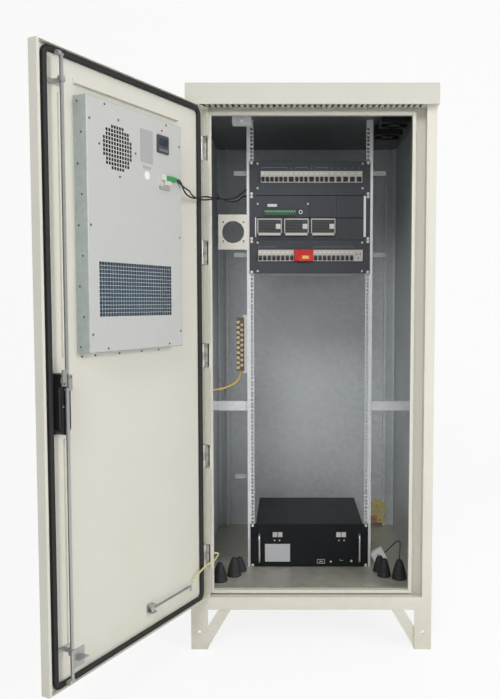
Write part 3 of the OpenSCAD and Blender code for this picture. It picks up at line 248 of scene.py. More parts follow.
def plated(light, dark, rough, metal=0.85):
    def recipe(at):
        cloud = at.noise(60, 5, 0.6)
        return {"Base Color": cloud.tones(dark, light), "Metallic": metal, "Roughness": rough + cloud * 0.16,
                "Normal": at.noise(400, 2).bump(0.06, 0.0004)}
    return recipe


def printed(colour, rough=0.35):
    def recipe(at):
        cloud = at.noise(25, 3)
        return {"Base Color": cloud.tones(colour, dimmed(colour, 0.93)), "Roughness": rough + cloud * 0.08,
                "Normal": at.noise(600, 1).bump(0.03, 0.0003)}
    return recipe


def sheath(base, stripe=None):
    # Drawn plastic on the cord's own map, x round it and y along it
    def recipe(at):
        grain = at.stretched((6, 900, 1)).noise(1, 2)
        colour = grain.tones(base, dimmed(base, 0.86))
        if stripe:
            turn = at.axis("x")
            colour = ((turn > 0.30) * (turn < 0.52)).tones(colour, stripe)
        return {"Base Color": colour, "Roughness": 0.36 + grain * 0.12, "Normal": grain.bump(0.08, 0.0004)}
    return recipe


# Places in metres where a solid changes from one finish to the other
skinSet = {"half": 0.4375, "ceiling": 2.0242, "railBack": -0.1600, "hingeShadowStart": -0.3845, "bracket": (0.8, 1.2),
           "breaker": -0.1722, "terminal": -0.1742, "plug": 1.69, "earthBar": -0.1262, "unit": -0.1665,
           "control": -0.05, "ear": -0.1629}
black = moulded(tone(26, 26, 28))
mainPaint = paintCoat(paintSet)
zincSheet, darkZincPaintedShade, lightZinc = zincCoat(zincSet), zincCoat(darkTonesPaintedShade), zincCoat(railSet)
panelGrey = panelCoat(panelSet, 0.42)
paint = makeFinish("cabinetPaint", mainPaint)
# Roof cap paint darkened: painted shade
roofCoatPaintedShade = makeFinish("roofCoatPaintedShade", paintCoat(roofTonesPaintedShade))
# The air conditioner's chassis and coil core in dark zinc: painted shade
chassisZincPaintedShade = makeFinish("chassisZincPaintedShade", darkZincPaintedShade)
railZinc = makeFinish("railZinc", lightZinc)
# Brackets outside the middle band take the dimmer zinc: painted shade
bracketZinc = makeFinish("bracketZinc", lightZinc, zincCoat(bracketTonesPaintedShade),
                         lambda at: (at.axis("z") > skinSet["bracket"][1]) + (at.axis("z") < skinSet["bracket"][0]))
sideZinc = makeFinish("sideZinc", zincCoat(sideSet))
floorZinc = makeFinish("floorZinc", zincCoat(floorSet))
steel = makeFinish("brightSteel", brushedSteel)
blackPlastic = makeFinish("blackPlastic", black)
rubber = makeFinish("blackRubber", moulded(tone(30, 30, 31), 0.72, 500.0))
cream = makeFinish("creamPlastic", moulded(tone(214, 212, 200), 0.4, 900.0, 0.05))
greyPanel = makeFinish("greyPanel", panelGrey)
darkPanel = makeFinish("darkPanel", panelCoat(batterySet, 0.38))
redPlastic = makeFinish("redPlastic", moulded(tone(206, 44, 32), 0.28))
goldZinc = makeFinish("yellowZinc", plated(tone(222, 209, 152), tone(196, 181, 124), 0.34, 0.35))
brass = makeFinish("brassBar", plated(tone(244, 233, 204), tone(224, 206, 164), 0.3, 0.3))
coverPaint = makeFinish("coverPaint", moulded(tone(195, 196, 193), 0.4, 600.0, 0.05))
grillePaint = makeFinish("grillePaint", moulded(tone(146, 156, 163), 0.4, 600.0, 0.05))
# Zinc-plated bolts in a near-white tone that stands in for their highlights: real plating with painted highlight
boltPlatingAndHighlight = makeFinish("boltPlatingAndHighlight", plated(tone(244, 244, 242), tone(216, 216, 214), 0.25, 0.3))
screwGrey = makeFinish("screwGrey", plated(tone(132, 133, 134), tone(98, 99, 101), 0.34))
lightGrey = makeFinish("lightGreyCap", moulded(tone(184, 181, 174), 0.38, 800.0, 0.06))
displayCase = makeFinish("displayCase", moulded(tone(72, 74, 80), 0.4))
boxWhite = makeFinish("boxWhite", moulded(tone(246, 246, 242), 0.4, 900.0, 0.04))
# Pale hinge leaf, black past the hinge edge: painted shadow of the gap beside the leaf
hingeLeafAndPaintedShadow = makeFinish("hingeLeafAndPaintedShadow", plated(tone(222, 220, 212), tone(196, 194, 186), 0.34, 0.2), black,
                        above("x", skinSet["hingeShadowStart"]))
paleMark = makeFinish("paleMark", printed(tone(212, 212, 210)))
earthSheath = makeFinish("earthSheath", sheath(tone(226, 196, 84), tone(92, 140, 62)), coords="UV")
strapSheath = makeFinish("strapSheath", sheath(tone(234, 225, 166), tone(184, 192, 118)), coords="UV")
blackSheath = makeFinish("blackSheath", sheath(tone(27, 27, 29)), coords="UV")
print("finishes made")


# Meshes in millimetres, each put in place before it rides
def bevelBox(bm, low, high, edge=0.4, steps=1):
    made = bmesh.ops.create_cube(bm, size=1)["verts"]
    size = [high[i] - low[i] for i in range(3)]
    for v in made:
        v.co = Vector([low[i] + (v.co[i] + 0.5) * size[i] for i in range(3)])
    if edge:
        edges = list({e for v in made for e in v.link_edges})
        bmesh.ops.bevel(bm, geom=edges, offset=min(edge, min(size) * 0.45), segments=steps, affect="EDGES")


def joinRings(bm, rings, lids=True):
    # Skin over rings of equal count, with a lid at both ends or else the last ring joined to the first
    count = len(rings[0])
    for low, high in zip(rings, rings[1:] if lids else rings[1:] + rings[:1]):
        for k in range(count):
            n = (k + 1) % count
            bm.faces.new((low[k], low[n], high[n], high[k]))
    if lids:
        bm.faces.new(rings[0][::-1])
        bm.faces.new(rings[-1])


def circle(sides):
    return [(math.cos(2 * math.pi * k / sides), math.sin(2 * math.pi * k / sides)) for k in range(sides)]


def turnedForm(bm, centre, axis, profile, sides=24):
    # Profile of (radius, distance along the axis), closed at both ends
    turn = Vector(axis).to_track_quat("Z", "Y").to_matrix()
    joinRings(bm, [[bm.verts.new(Vector(centre) + turn @ Vector((radius * c, radius * s, along)))
                    for c, s in circle(sides)] for radius, along in profile])


def putPiece(name, mesh, finish, body, stands=()):
    mesh.transform(doorPlace if body == "door" else cabinetPlace)
    piece = addObject(name, mesh)
    mesh.materials.clear()
    mesh.materials.append(finish)
    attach(piece, body)
    if stands:
        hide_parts(*stands)
    return piece


def closeMesh(name, bm, smooth=False):
    mesh = bpy.data.meshes.new(name)
    bmesh.ops.recalc_face_normals(bm, faces=bm.faces)
    bm.to_mesh(mesh)
    bm.free()
    for face in mesh.polygons:
        face.use_smooth = smooth
    return mesh


def formPiece(name, finish, body, boxes=(), turned=(), edge=0.4, smooth=False, stands=()):
    # Boxes are (low, high), then their own rounding and its steps where these differ
    bm = bmesh.new()
    for low, high, *own in boxes:
        bevelBox(bm, low, high, *(own or [edge]))
    for form in turned:
        turnedForm(bm, *form)
    return putPiece(name, closeMesh(name, bm, smooth), finish, body, stands)


# Cords near the routes of their solids, kept inside the door's outer face when it is shut
cordSet = {
    "earthLead": {"node": "earth_lead", "width": 7.0, "stiff": "medium", "body": "cabinet",
                  "finish": earthSheath, "slot": "earth_sleeve",
                  "route": [(-282, 322, 1020.5), (-283, 319, 1002), (-292, 300, 984), (-312, 262, 970),
                            (-340, 215, 962), (-370, 172, 960), (-396, 144, 964), (-412, 135, 967),
                            (-424.5, 134, 968)]},
    "bondingStrap": {"node": "bonding_strap", "width": 6.0, "stiff": "limp",
                     "finish": strapSheath, "slot": "earth_sleeve",
                     "start": (-398, -52, 322), "end": (-350, 30, 357),
                     "route": [(-438.2, -75.7, 290), (-431.5, -79, 291), (-424, -77, 298), (-411, -61, 315),
                               (-388.6, -38.6, 333), (-361.5, -20, 346), (-352, 7, 353), (-349, 22, 356),
                               (-350, 32, 357), (-357, 34, 357), (-365.6, 34, 357)]},
    "sensorLead": {"node": "sensor_lead", "width": 4.0, "stiff": "limp", "body": "cabinet",
                   "finish": blackSheath, "slot": "black_rubber",
                   "route": [(312, 320, 262.5), (320.8, 320, 267.2), (333, 314, 281), (347, 293, 306),
                             (357, 255, 330), (361, 215, 342), (358, 183, 334), (354, 163, 314),
                             (352, 158, 289.4)]},
}
harnessSet = {"node": "door_harness", "width": 5.5, "part": 5.0, "turns": 3.0, "rise": (66.0, 40.0),
              "stiff": "medium", "finish": blackSheath, "slot": "black_rubber",
              "start": (-392, -74, 1667), "end": (-346, 34, 1682),
              "route": [(-455, -228, 1703), (-450, -218, 1703), (-441, -201, 1692), (-432, -181, 1679),
                        (-423, -155, 1669), (-412, -120, 1665), (-397, -82, 1666), (-378, -46, 1670),
                        (-358, -14, 1675), (-350, 16, 1680), (-341, 58, 1684), (-333, 108, 1686),
                        (-319, 164, 1686), (-302, 218, 1685), (-288, 262, 1685), (-277, 291, 1686),
                        (-265, 303, 1687), (-252.5, 304, 1687)]}


def smoothRoute(points, steps=6):
    # Catmull-Rom curve through every point
    points = [Vector(p) for p in points]
    line = []
    for i in range(len(points) - 1):
        a, b, c, d = points[max(i - 1, 0)], points[i], points[i + 1], points[min(i + 2, len(points) - 1)]
        for k in range(steps):
            t = k / steps
            line.append(0.5 * (2 * b + (c - a) * t + (2 * a - 5 * b + 4 * c - d) * t * t
                               + (3 * b - a - 3 * c + d) * t ** 3))
    return line + [points[-1]]


def headingsOf(line):
    return [(line[min(i + 1, len(line) - 1)] - line[max(i - 1, 0)]).normalized() for i in range(len(line))]


def sweepTube(name, line, width, sides=12):
    # Round sheath with a map that runs round and along it
    bm = bmesh.new()
    layer = bm.loops.layers.uv.new("sheath")
    headings = headingsOf(line)
    side = headings[0].orthogonal().normalized()
    rings, run, along = [], 0.0, []
    for i, (spot, ahead) in enumerate(zip(line, headings)):
        side = (side - ahead * side.dot(ahead)).normalized()
        lift = ahead.cross(side)
        run += (spot - line[i - 1]).length if i else 0.0
        along.append(run)
        rings.append([bm.verts.new(spot + width / 2 * (side * c + lift * s)) for c, s in circle(sides)])
    for i in range(len(line) - 1):
        for k in range(sides):
            n = (k + 1) % sides
            face = bm.faces.new((rings[i][k], rings[i][n], rings[i + 1][n], rings[i + 1][k]))
            for loop, (u, v) in zip(face.loops, ((k, i), (k + 1, i), (k + 1, i + 1), (k, i + 1))):
                loop[layer].uv = (u / sides, along[v] * mm)
    bm.faces.new(rings[0][::-1])
    bm.faces.new(rings[-1])
    return closeMesh(name, bm, True)


def layCord(name, line, facts, held=()):
    width = facts["width"]
    piece = addObject(name, sweepTube(name, line, width))
    piece.data.materials.append(facts["finish"])
    piece.data.transform(cabinetPlace)
    path = [cabinetPlace @ p for p in line]
    length = sum((b - a).length for a, b in zip(path, path[1:]))
    if "start" in facts:
        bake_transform(piece)
    else:
        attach(piece, facts["body"])
    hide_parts(facts["node"])
    width * mm
    print("cord", name, "is", round(length, 3), "m long")


tieSet = {"spot": (-345, 38, 1682), "ahead": (10, 42, 4), "radius": 6.6, "width": 5.0, "edge": 0.5,
          "lock": ((-2, -1, -1), (5, 6, 3)), "tail": ((0.5, 1, 2.5), (2, 4, 12))}


def tieHarness():
    # Nylon tie with its lock and cut tail
    r, w, edge = tieSet["radius"], tieSet["width"], tieSet["edge"]
    top = Vector(tieSet["spot"]) + Vector((0, 0, r))
    boxes = [[top + Vector(corner) for corner in tieSet[key]] + [own] for key, own in (("lock", 0.6), ("tail", 0.3))]
    band = [(r - edge, 0), (r, edge), (r, w - edge), (r - edge, w)]
    return formPiece("harnessTie", blackPlastic, "cabinet", boxes,
                     [(tieSet["spot"], tieSet["ahead"], band, 20)])


def layCords():
    for name, facts in cordSet.items():
        layCord(name, smoothRoute(facts["route"]), facts)
    # The harness is two leads laid round each other
    middle = smoothRoute(harnessSet["route"])
    last = len(middle) - 1
    tied = min(range(len(middle)), key=lambda i: (middle[i] - Vector(tieSet["spot"])).length)
    for lead in (0, 1):
        line = []
        for i, (spot, ahead) in enumerate(zip(middle, headingsOf(middle))):
            side = ahead.cross(Vector((0, 0, 1))).normalized()
            angle = 2 * math.pi * harnessSet["turns"] * i / last + math.pi * lead
            apart = harnessSet["width"] / 2 + harnessSet["part"] * math.sin(math.pi * min(i / tied, 1)) ** 2
            # Past the tie each lead climbs to its own place behind the rail
            past = max(i - tied, 0) / (last - tied)
            lift = Vector((0, 0, harnessSet["rise"][lead] * past ** 3 * (4 - 3 * past)))
            line.append(spot + lift + (side * math.cos(angle) + side.cross(ahead) * math.sin(angle)) * apart)
        layCord("harnessLead" + str(lead + 1), line, harnessSet, [] if lead else [tieHarness()])


layCords()


# Trees for what repeats, each grown on a few points
def openTree(name, inputs):
    tree = bpy.data.node_groups.new(name, "GeometryNodeTree")
    for label, kind in [("Geometry", "Geometry")] + inputs + [("Finish", "Material")]:
        tree.interface.new_socket(label, in_out="INPUT", socket_type="NodeSocket" + kind)
    tree.interface.new_socket("Geometry", in_out="OUTPUT", socket_type="NodeSocketGeometry")
    return {out.name: Sock(tree, out) for out in tree.nodes.new("NodeGroupInput").outputs if out.name}


def endTree(geometry, finish):
    whole = geometry.node("GeometryNodeRealizeInstances", None, {"Geometry": geometry})
    coated = whole.node("GeometryNodeSetMaterial", None, {"Geometry": whole, "Material": finish})
    coated.node("NodeGroupOutput", None, {"Geometry": coated})
    return geometry.tree


def headTree():
    # Heads with a cross recess, set on points that carry their facing
    ask = openTree("panHeads", [("Head Radius", "Float"), ("Head Height", "Float"), ("Slot Width", "Float")])
    radius, height, slotWide = ask["Head Radius"], ask["Head Height"], ask["Slot Width"]
    dome = radius.node("GeometryNodeMeshCone", None, {
        "Vertices": 12, "Radius Top": radius * 0.72, "Radius Bottom": radius, "Depth": height})
    arm, bars = radius * 1.1, []
    for first, second in ((arm, slotWide), (slotWide, arm)):
        size = arm.node("ShaderNodeCombineXYZ", None, {"X": first, "Y": second, "Z": height})
        bar = arm.node("GeometryNodeMeshCube", None, {"Size": size})
        lift = arm.node("ShaderNodeCombineXYZ", None, {"Z": height})
        bars.append(bar.node("GeometryNodeTransform", None, {"Geometry": bar, "Translation": lift}))
    cut = dome.node("GeometryNodeMeshBoolean", {"operation": "DIFFERENCE"}, {"Mesh 1": dome, "Mesh 2": bars})
    facing = cut.node("GeometryNodeInputNamedAttribute", {"data_type": "FLOAT_VECTOR"}, {"Name": "facing"})
    turn = facing.node("FunctionNodeAlignRotationToVector", {"axis": "Z"}, {"Vector": facing})
    laid = cut.node("GeometryNodeInstanceOnPoints", None, {
        "Points": ask["Geometry"], "Instance": cut, "Rotation": turn})
    return endTree(laid, ask["Finish"])


def ribTree():
    # Ridges round a cone, one ring on each point, sized by the point's own girth
    ask = openTree("coneRibs", [("Rib Width", "Float")])
    points = ask["Geometry"]
    path = points.node("GeometryNodeCurvePrimitiveCircle", None, {"Resolution": 20, "Radius": 1.0})
    girth = points.node("GeometryNodeInputNamedAttribute", {"data_type": "FLOAT"}, {"Name": "girth"})
    rings = points.node("GeometryNodeInstanceOnPoints", None, {"Points": points, "Instance": path, "Scale": girth})
    loose = rings.node("GeometryNodeRealizeInstances", None, {"Geometry": rings})
    section = points.node("GeometryNodeCurvePrimitiveCircle", None, {"Resolution": 6, "Radius": ask["Rib Width"]})
    solid = loose.node("GeometryNodeCurveToMesh", None, {"Curve": loose, "Profile Curve": section})
    return endTree(solid, ask["Finish"])


def sealTree():
    # Bulb seal swept round the door on a flat closed path
    ask = openTree("bulbSeal", [("Seal Width", "Float"), ("Seal Height", "Float"), ("Seal Round", "Float")])
    path = ask["Geometry"].node("GeometryNodeMeshToCurve", None, {"Mesh": ask["Geometry"]})
    upright = path.node("GeometryNodeSetCurveNormal", {"mode": "Z_UP"}, {"Curve": path})
    flat = path.node("GeometryNodeCurvePrimitiveQuadrilateral", None, {
        "Width": ask["Seal Width"], "Height": ask["Seal Height"]})
    bulb = flat.node("GeometryNodeFilletCurve", {"mode": "POLY"}, {
        "Curve": flat, "Count": 4, "Radius": ask["Seal Round"]})
    solid = upright.node("GeometryNodeCurveToMesh", None, {"Curve": upright, "Profile Curve": bulb})
    return endTree(solid, ask["Finish"])


def finTree():
    # Thin plates along a row of points
    ask = openTree("coilFins", [("Fin Size", "Vector")])
    fin = ask["Fin Size"].node("GeometryNodeMeshCube", None, {"Size": ask["Fin Size"]})
    laid = fin.node("GeometryNodeInstanceOnPoints", None, {"Points": ask["Geometry"], "Instance": fin})
    return endTree(laid, ask["Finish"])


def punchTree():
    # Sheet of square cells, each with a hole, inside a round limit
    ask = openTree("punchedSheet", [("Columns", "Int"), ("Rows", "Int"), ("Pitch X", "Float"), ("Pitch Z", "Float"),
                                    ("Hole Share", "Float"), ("Wall", "Float"), ("Limit", "Float")])
    columns, rows = ask["Columns"], ask["Rows"]
    sheet = rows.node("GeometryNodeMeshGrid", None, {
        "Size X": columns * ask["Pitch X"], "Size Y": rows * ask["Pitch Z"],
        "Vertices X": columns + 1.0, "Vertices Y": rows + 1.0})
    spot = rows.node("GeometryNodeInputPosition")
    reach = spot.node("ShaderNodeVectorMath", {"operation": "LENGTH"}, {0: spot}, "Value")
    split = sheet.node("GeometryNodeExtrudeMesh", {"mode": "FACES"}, {
        "Mesh": sheet, "Selection": reach < ask["Limit"], "Offset Scale": 0.0, "Individual": True})
    holes = split.other("Top")
    shrunk = split.node("GeometryNodeScaleElements", {"domain": "FACE"}, {
        "Geometry": split, "Selection": holes, "Scale": ask["Hole Share"]})
    punched = shrunk.node("GeometryNodeDeleteGeometry", {"domain": "FACE"}, {
        "Geometry": shrunk, "Selection": holes})
    thick = punched.node("GeometryNodeExtrudeMesh", {"mode": "FACES"}, {
        "Mesh": punched, "Offset Scale": ask["Wall"], "Individual": False})
    under = punched.node("GeometryNodeFlipFaces", None, {"Mesh": punched})
    both = thick.node("GeometryNodeJoinGeometry", None, {0: [thick, under]})
    welded = both.node("GeometryNodeMergeByDistance", None, {"Geometry": both, "Distance": 0.01})
    return endTree(welded, ask["Finish"])


trees = {"heads": headTree(), "ribs": ribTree(), "seal": sealTree(), "fins": finTree(), "punch": punchTree()}


def growPiece(name, kind, verts, finish, body, values, attributes=None, edges=(), stand=None, stands=()):
    # Runs one tree on a few points and keeps the result as a plain mesh
    seed = bpy.data.meshes.new(name + "Seed")
    seed.from_pydata(verts, edges, [])
    for label, (sort, entries) in (attributes or {}).items():
        field = seed.attributes.new(label, sort, "POINT")
        for item, value in zip(field.data, entries):
            setattr(item, "vector" if sort == "FLOAT_VECTOR" else "value", value)
    host = addObject(name + "Seed", seed)
    step = host.modifiers.new("grow", "NODES")
    step.node_group = trees[kind]
    given = dict(values, Finish=finish)
    for item in trees[kind].interface.items_tree:
        if item.in_out == "INPUT" and item.name in given:
            step[item.identifier] = given[item.name]
    host.update_tag()
    mesh = bpy.data.meshes.new_from_object(host.evaluated_get(bpy.context.evaluated_depsgraph_get()))
    mesh.name = name
    bpy.data.objects.remove(host)
    if stand is not None:
        mesh.transform(stand)
        if stand.determinant() < 0:
            mesh.flip_normals()
    return putPiece(name, mesh, finish, body, stands)


def setHeads(name, points, facing, body, radius=3.4, height=2.0, slotWide=0.9, finish=steel):
    # A head starts half its height in front of its point
    verts = [Vector(p) + Vector(facing) * height / 2 for p in points]
    growPiece(name, "heads", verts, finish, body,
              {"Head Radius": radius, "Head Height": height, "Slot Width": slotWide},
              {"facing": ("FLOAT_VECTOR", [facing] * len(verts))})


print("node trees ready")

# Air conditioner
coverSet = {"face": 58.0, "side": 254.0, "left": -202.0, "low": 1154.0, "high": 1885.0, "foot": 10.0, "wall": 1.5,
            "bend": 3.0, "sideCount": 9, "footX": (236, 180, 70, -40, -130), "footZ": 1143,
            "screws": [(178, 1873), (118, 1840), (243, 1820), (-118, 1873), (-188, 1817), (114, 1674),
                       (243, 1521), (-188, 1517), (241, 1208), (176, 1165), (-126, 1165), (-190, 1205),
                       (203, 1756), (39, 1756)],
            "plates": [(-48, 14.5, 1736, 1839, 0.8, 0.3), (-38, 3, 1717, 1727, 0.7, 0.2)],
            "disc": (-18, 1698), "lamp": (-96, 1852)}
grilleZones = {"coverGrille": {"centre": (35.0, 1339.0), "cells": (29, 14), "pitch": (12.1, 11.5), "share": 0.80,
                               "limit": 1000.0, "finish": grillePaint},
               "coverRound": {"centre": (121.0, 1756.0), "cells": (11, 11), "pitch": (12.0, 12.0), "share": 0.78,
                              "limit": 69.0, "finish": coverPaint}}


def zoneEdges(zone):
    (x, z), (columns, rows), (wide, tall) = zone["centre"], zone["cells"], zone["pitch"]
    return x - columns * wide / 2, x + columns * wide / 2, z - rows * tall / 2, z + rows * tall / 2


def latticePlate(bm, xs, zs, gaps, back, front):
    # Flat plate on a lattice of lines, open where a cell lies in a gap
    def solid(i, k):
        if not (0 <= i < len(xs) - 1 and 0 <= k < len(zs) - 1):
            return False
        x, z = (xs[i] + xs[i + 1]) / 2, (zs[k] + zs[k + 1]) / 2
        return not any(x0 < x < x1 and z0 < z < z1 for x0, x1, z0, z1 in gaps)

    layers = [[[bm.verts.new((x, y, z)) for z in zs] for x in xs] for y in (back, front)]
    for i in range(len(xs) - 1):
        for k in range(len(zs) - 1):
            if not solid(i, k):
                continue
            ring = [(i, k), (i + 1, k), (i + 1, k + 1), (i, k + 1)]
            for layer in layers:
                bm.faces.new([layer[a][b] for a, b in ring])
            for n, (di, dk) in enumerate(((0, -1), (1, 0), (0, 1), (-1, 0))):
                if not solid(i + di, k + dk):
                    (a, b), (c, d) = ring[n], ring[(n + 1) % 4]
                    bm.faces.new((layers[0][a][b], layers[0][c][d], layers[1][c][d], layers[1][a][b]))
    bmesh.ops.delete(bm, geom=[v for v in bm.verts if not v.link_faces], context="VERTS")


def makeCover():
    # Folded sheet cover with its two punched zones
    left, side, low, high = coverSet["left"], coverSet["side"], coverSet["low"], coverSet["high"]
    face, wall, bend, foot = coverSet["face"], coverSet["wall"], coverSet["bend"], coverSet["foot"]
    gaps = [zoneEdges(zone) for zone in grilleZones.values()]
    xs = sorted({left + bend, side - bend} | {x for gap in gaps for x in gap[:2]})
    zs = sorted({low + bend, high - bend} | {z for gap in gaps for z in gap[2:]})
    bm = bmesh.new()
    latticePlate(bm, xs, zs, gaps, face - wall, face)
    putPiece("innerCover", closeMesh("innerCover", bm), coverPaint, "door", ("ac_inner_cover",))
    bm = bmesh.new()
    arc = [math.pi / 2 * k / 4 for k in range(5)]
    fold = [(bend - bend * math.sin(a), face - bend + bend * math.cos(a)) for a in arc] + [(0, foot), (wall, foot)]
    fold += [(wall, face - bend), (bend, face - wall)]
    joinRings(bm, [[bm.verts.new((x, y, z)) for x, z in ((left + d, low + d), (side - d, low + d),
                                                         (side - d, high - d), (left + d, high - d))]
                   for d, y in fold], False)
    putPiece("coverSides", closeMesh("coverSides", bm), sideZinc, "door")
    for name, zone in grilleZones.items():
        (x, z), (columns, rows), (wide, tall) = zone["centre"], zone["cells"], zone["pitch"]
        growPiece(name, "punch", [(0, 0, 0)], zone["finish"], "door",
                  {"Columns": columns, "Rows": rows, "Pitch X": wide, "Pitch Z": tall, "Hole Share": zone["share"],
                   "Wall": wall, "Limit": zone["limit"]},
                  stand=Matrix.Translation((x, face, z)) @ Matrix.Rotation(math.pi / 2, 4, "X"))


makeCover()


def dressCover():
    face = coverSet["face"]
    setHeads("coverScrews", [(x, face, z) for x, z in coverSet["screws"]], inward, "door", 3.6, 1.8,
             finish=screwGrey)
    setHeads("coverSideScrews", [(coverSet["side"], 24 + 14 * (i % 2), 1172 + 87 * i)
                                 for i in range(coverSet["sideCount"])], (1, 0, 0), "door", 3.4, 1.6,
             finish=screwGrey)
    setHeads("coverFootScrews", [(x, coverSet["foot"], coverSet["footZ"]) for x in coverSet["footX"]], inward,
             "door", finish=screwGrey)
    formPiece("coverPlate", makeFinish("barePlate", printed(tone(172, 172, 174))), "door",
              [((x0, face, z0), (x1, face + thick, z1), edge) for x0, x1, z0, z1, thick, edge in coverSet["plates"]])
    x, z = coverSet["disc"]
    formPiece("coverDisc", makeFinish("bareDisc", printed(tone(240, 240, 238))), "door",
              turned=[((x, face, z), inward, [(13, 0), (13, 0.4), (12.4, 0.6)], 28)])
    x, z = coverSet["lamp"]
    formPiece("coverLamp", redPlastic, "door", smooth=True,
              turned=[((x, face, z), inward, [(3.2, 0), (3.2, 1.6), (2.2, 2.6), (0.8, 3.0)], 16)])


dressCover()

displaySet = {"face": 63.0, "screen": ((-119, 62.2, 1804), (-76, 62.9, 1826)), "keys": 4, "keyX": -120,
              "keyZ": (1785, 1793), "keyWide": 9, "keyPitch": 12}


def dressDisplay():
    face, (z0, z1) = displaySet["face"], displaySet["keyZ"]
    glass = makeFinish("displayGlass", moulded(tone(58, 66, 74), 0.12, 200.0, 0.2))
    formPiece("displayScreen", glass, "door", [displaySet["screen"]], edge=0.2)
    lefts = [displaySet["keyX"] + i * displaySet["keyPitch"] for i in range(displaySet["keys"])]
    formPiece("displayKeys", makeFinish("keyGrey", moulded(tone(128, 130, 134))), "door",
              [((x, face, z0), (x + displaySet["keyWide"], face + 1.4, z1), 0.8, 2) for x in lefts])


dressDisplay()

coilSet = {"low": (-128.0, 1268.0), "high": (174.0, 1408.0), "back": 6.0, "front": 30.0, "count": 105, "thick": 0.5,
           "pipes": 5, "pipeFirst": 18, "pipePitch": 26, "pipeRadius": 4.5}


def dressCoil():
    (x0, z0), (x1, z1) = coilSet["low"], coilSet["high"]
    step = (x1 - x0 - 4) / (coilSet["count"] - 1)
    middle = (coilSet["back"] + coilSet["front"]) / 2
    finBlue = makeFinish("finBlue", plated(tone(150, 190, 214), tone(116, 160, 190), 0.35))
    growPiece("coilFins", "fins", [(x0 + 2 + i * step, middle, (z0 + z1) / 2) for i in range(coilSet["count"])],
              finBlue, "door",
              {"Fin Size": (coilSet["thick"], coilSet["front"] - coilSet["back"], z1 - z0)},
              stands=("evaporator_coil",))
    tube = [(coilSet["pipeRadius"], 0), (coilSet["pipeRadius"], x1 - x0 + 3)]
    heights = [z0 + coilSet["pipeFirst"] + i * coilSet["pipePitch"] for i in range(coilSet["pipes"])]
    formPiece("coilPipes", makeFinish("copperPipe", plated(tone(206, 140, 106), tone(176, 110, 80), 0.3)), "door",
              turned=[((x0 - 1.5, middle + 5, z), (1, 0, 0), tube, 12) for z in heights], smooth=True)


dressCoil()

plugCapSet = {"face": 57.8, "cap": (-107.0, -86.0, 1694.0, 1712.5), "row": (-139.0, 12.6, 3), "low": 1680.0}


def dressPlug():
    # Cream end of the terminal block and the housings under it
    y, low = plugCapSet["face"], plugCapSet["low"]
    x0, x1, z0, z1 = plugCapSet["cap"]
    boxes = [((x0, y, z0), (x1, y + 10.4, z1))]
    start, pitch, count = plugCapSet["row"]
    for x in [start + pitch * i for i in range(count)]:
        boxes += [((x, y, low), (x + pitch - 1.6, y + 8, z0 + 1.5)),
                  ((x + 3, y + 7, low + 4), (x + pitch - 4.6, y + 9.2, z0 - 3))]
    formPiece("plugCaps", cream, "door", boxes, edge=0.8)


dressPlug()

sealSet = {"x": 370.0, "z0": 210.0, "z1": 1987.0, "corner": 21.0, "y": 15.85, "width": 18.0, "height": 11.7,
           "round": 4.6}


def dressSeal():
    # The path lies flat while it is swept, then stands up in the door
    r = sealSet["corner"]
    x, low, high = sealSet["x"] - r, sealSet["z0"] + r, sealSet["z1"] - r
    verts = []
    for cx, cz, first in ((x, low, -90), (x, high, 0), (-x, high, 90), (-x, low, 180)):
        for k in range(7):
            a = math.radians(first + 15 * k)
            verts.append((cx + r * math.cos(a), cz + r * math.sin(a), 0))
    growPiece("doorSeal", "seal", verts, rubber, "door",
              {"Seal Width": sealSet["width"], "Seal Height": sealSet["height"], "Seal Round": sealSet["round"]},
              edges=[(i, (i + 1) % len(verts)) for i in range(len(verts))],
              stand=Matrix(((1, 0, 0, 0), (0, 0, 1, sealSet["y"]), (0, 1, 0, 0), (0, 0, 0, 1))),
              stands=("door_gasket",))


dressSeal()

# Hinges, frame and rack
hingeSet = {"first": 356.0, "pitch": 375.0, "count": 5, "screwX": -388, "screwY": 36.5, "screwZ": (-30, 0, 30)}
setHeads("hingeScrews", [(hingeSet["screwX"], hingeSet["screwY"], hingeSet["first"] + hingeSet["pitch"] * i + z)
                         for i in range(hingeSet["count"]) for z in hingeSet["screwZ"]], outward, "cabinet", 4.6, 2.2)

glandSet = {"spots": [(-354, 132, 30, 71), (-302, 190, 29, 71), (-284, 246, 29, 54), (352, 158, 30, 75),
                      (296, 186, 27.3, 69), (284, 240, 27.3, 62)], "floor": 214.0, "lift": 0.2, "rib": 0.9,
            "neck": [(19.3, -8), (19.3, 0.1)], "ribs": (0.22, 0.42, 0.6, 0.76),
            "outline": [(0.0, 1.0), (0.065, 1.0), (0.09, 0.95), (0.27, 0.87), (0.46, 0.77), (0.64, 0.65),
                        (0.8, 0.52), (0.905, 0.42), (0.97, 0.34), (1.0, 0.26)]}


def bootGirth(up):
    # Share of the boot's widest radius at a share of its height
    for (low, first), (high, second) in zip(glandSet["outline"], glandSet["outline"][1:]):
        if low <= up <= high:
            return first + (second - first) * (up - low) / (high - low)


def dressGlands():
    boots, verts, girths = [], [], []
    floor, lift = glandSet["floor"], glandSet["lift"]
    for x, y, wide, tall in glandSet["spots"]:
        outline = [(r * wide, lift + up * (tall - lift)) for up, r in glandSet["outline"]]
        boots.append(((x, y, floor), (0, 0, 1), glandSet["neck"] + outline, 28))
        verts += [(x, y, floor + lift + up * (tall - lift)) for up in glandSet["ribs"]]
        girths += [bootGirth(up) * wide for up in glandSet["ribs"]]
    formPiece("glandBoots", rubber, "cabinet", turned=boots, smooth=True, stands=("cable_glands",))
    growPiece("glandRibs", "ribs", verts, rubber, "cabinet", {"Rib Width": glandSet["rib"]},
              {"girth": ("FLOAT", girths)})


dressGlands()

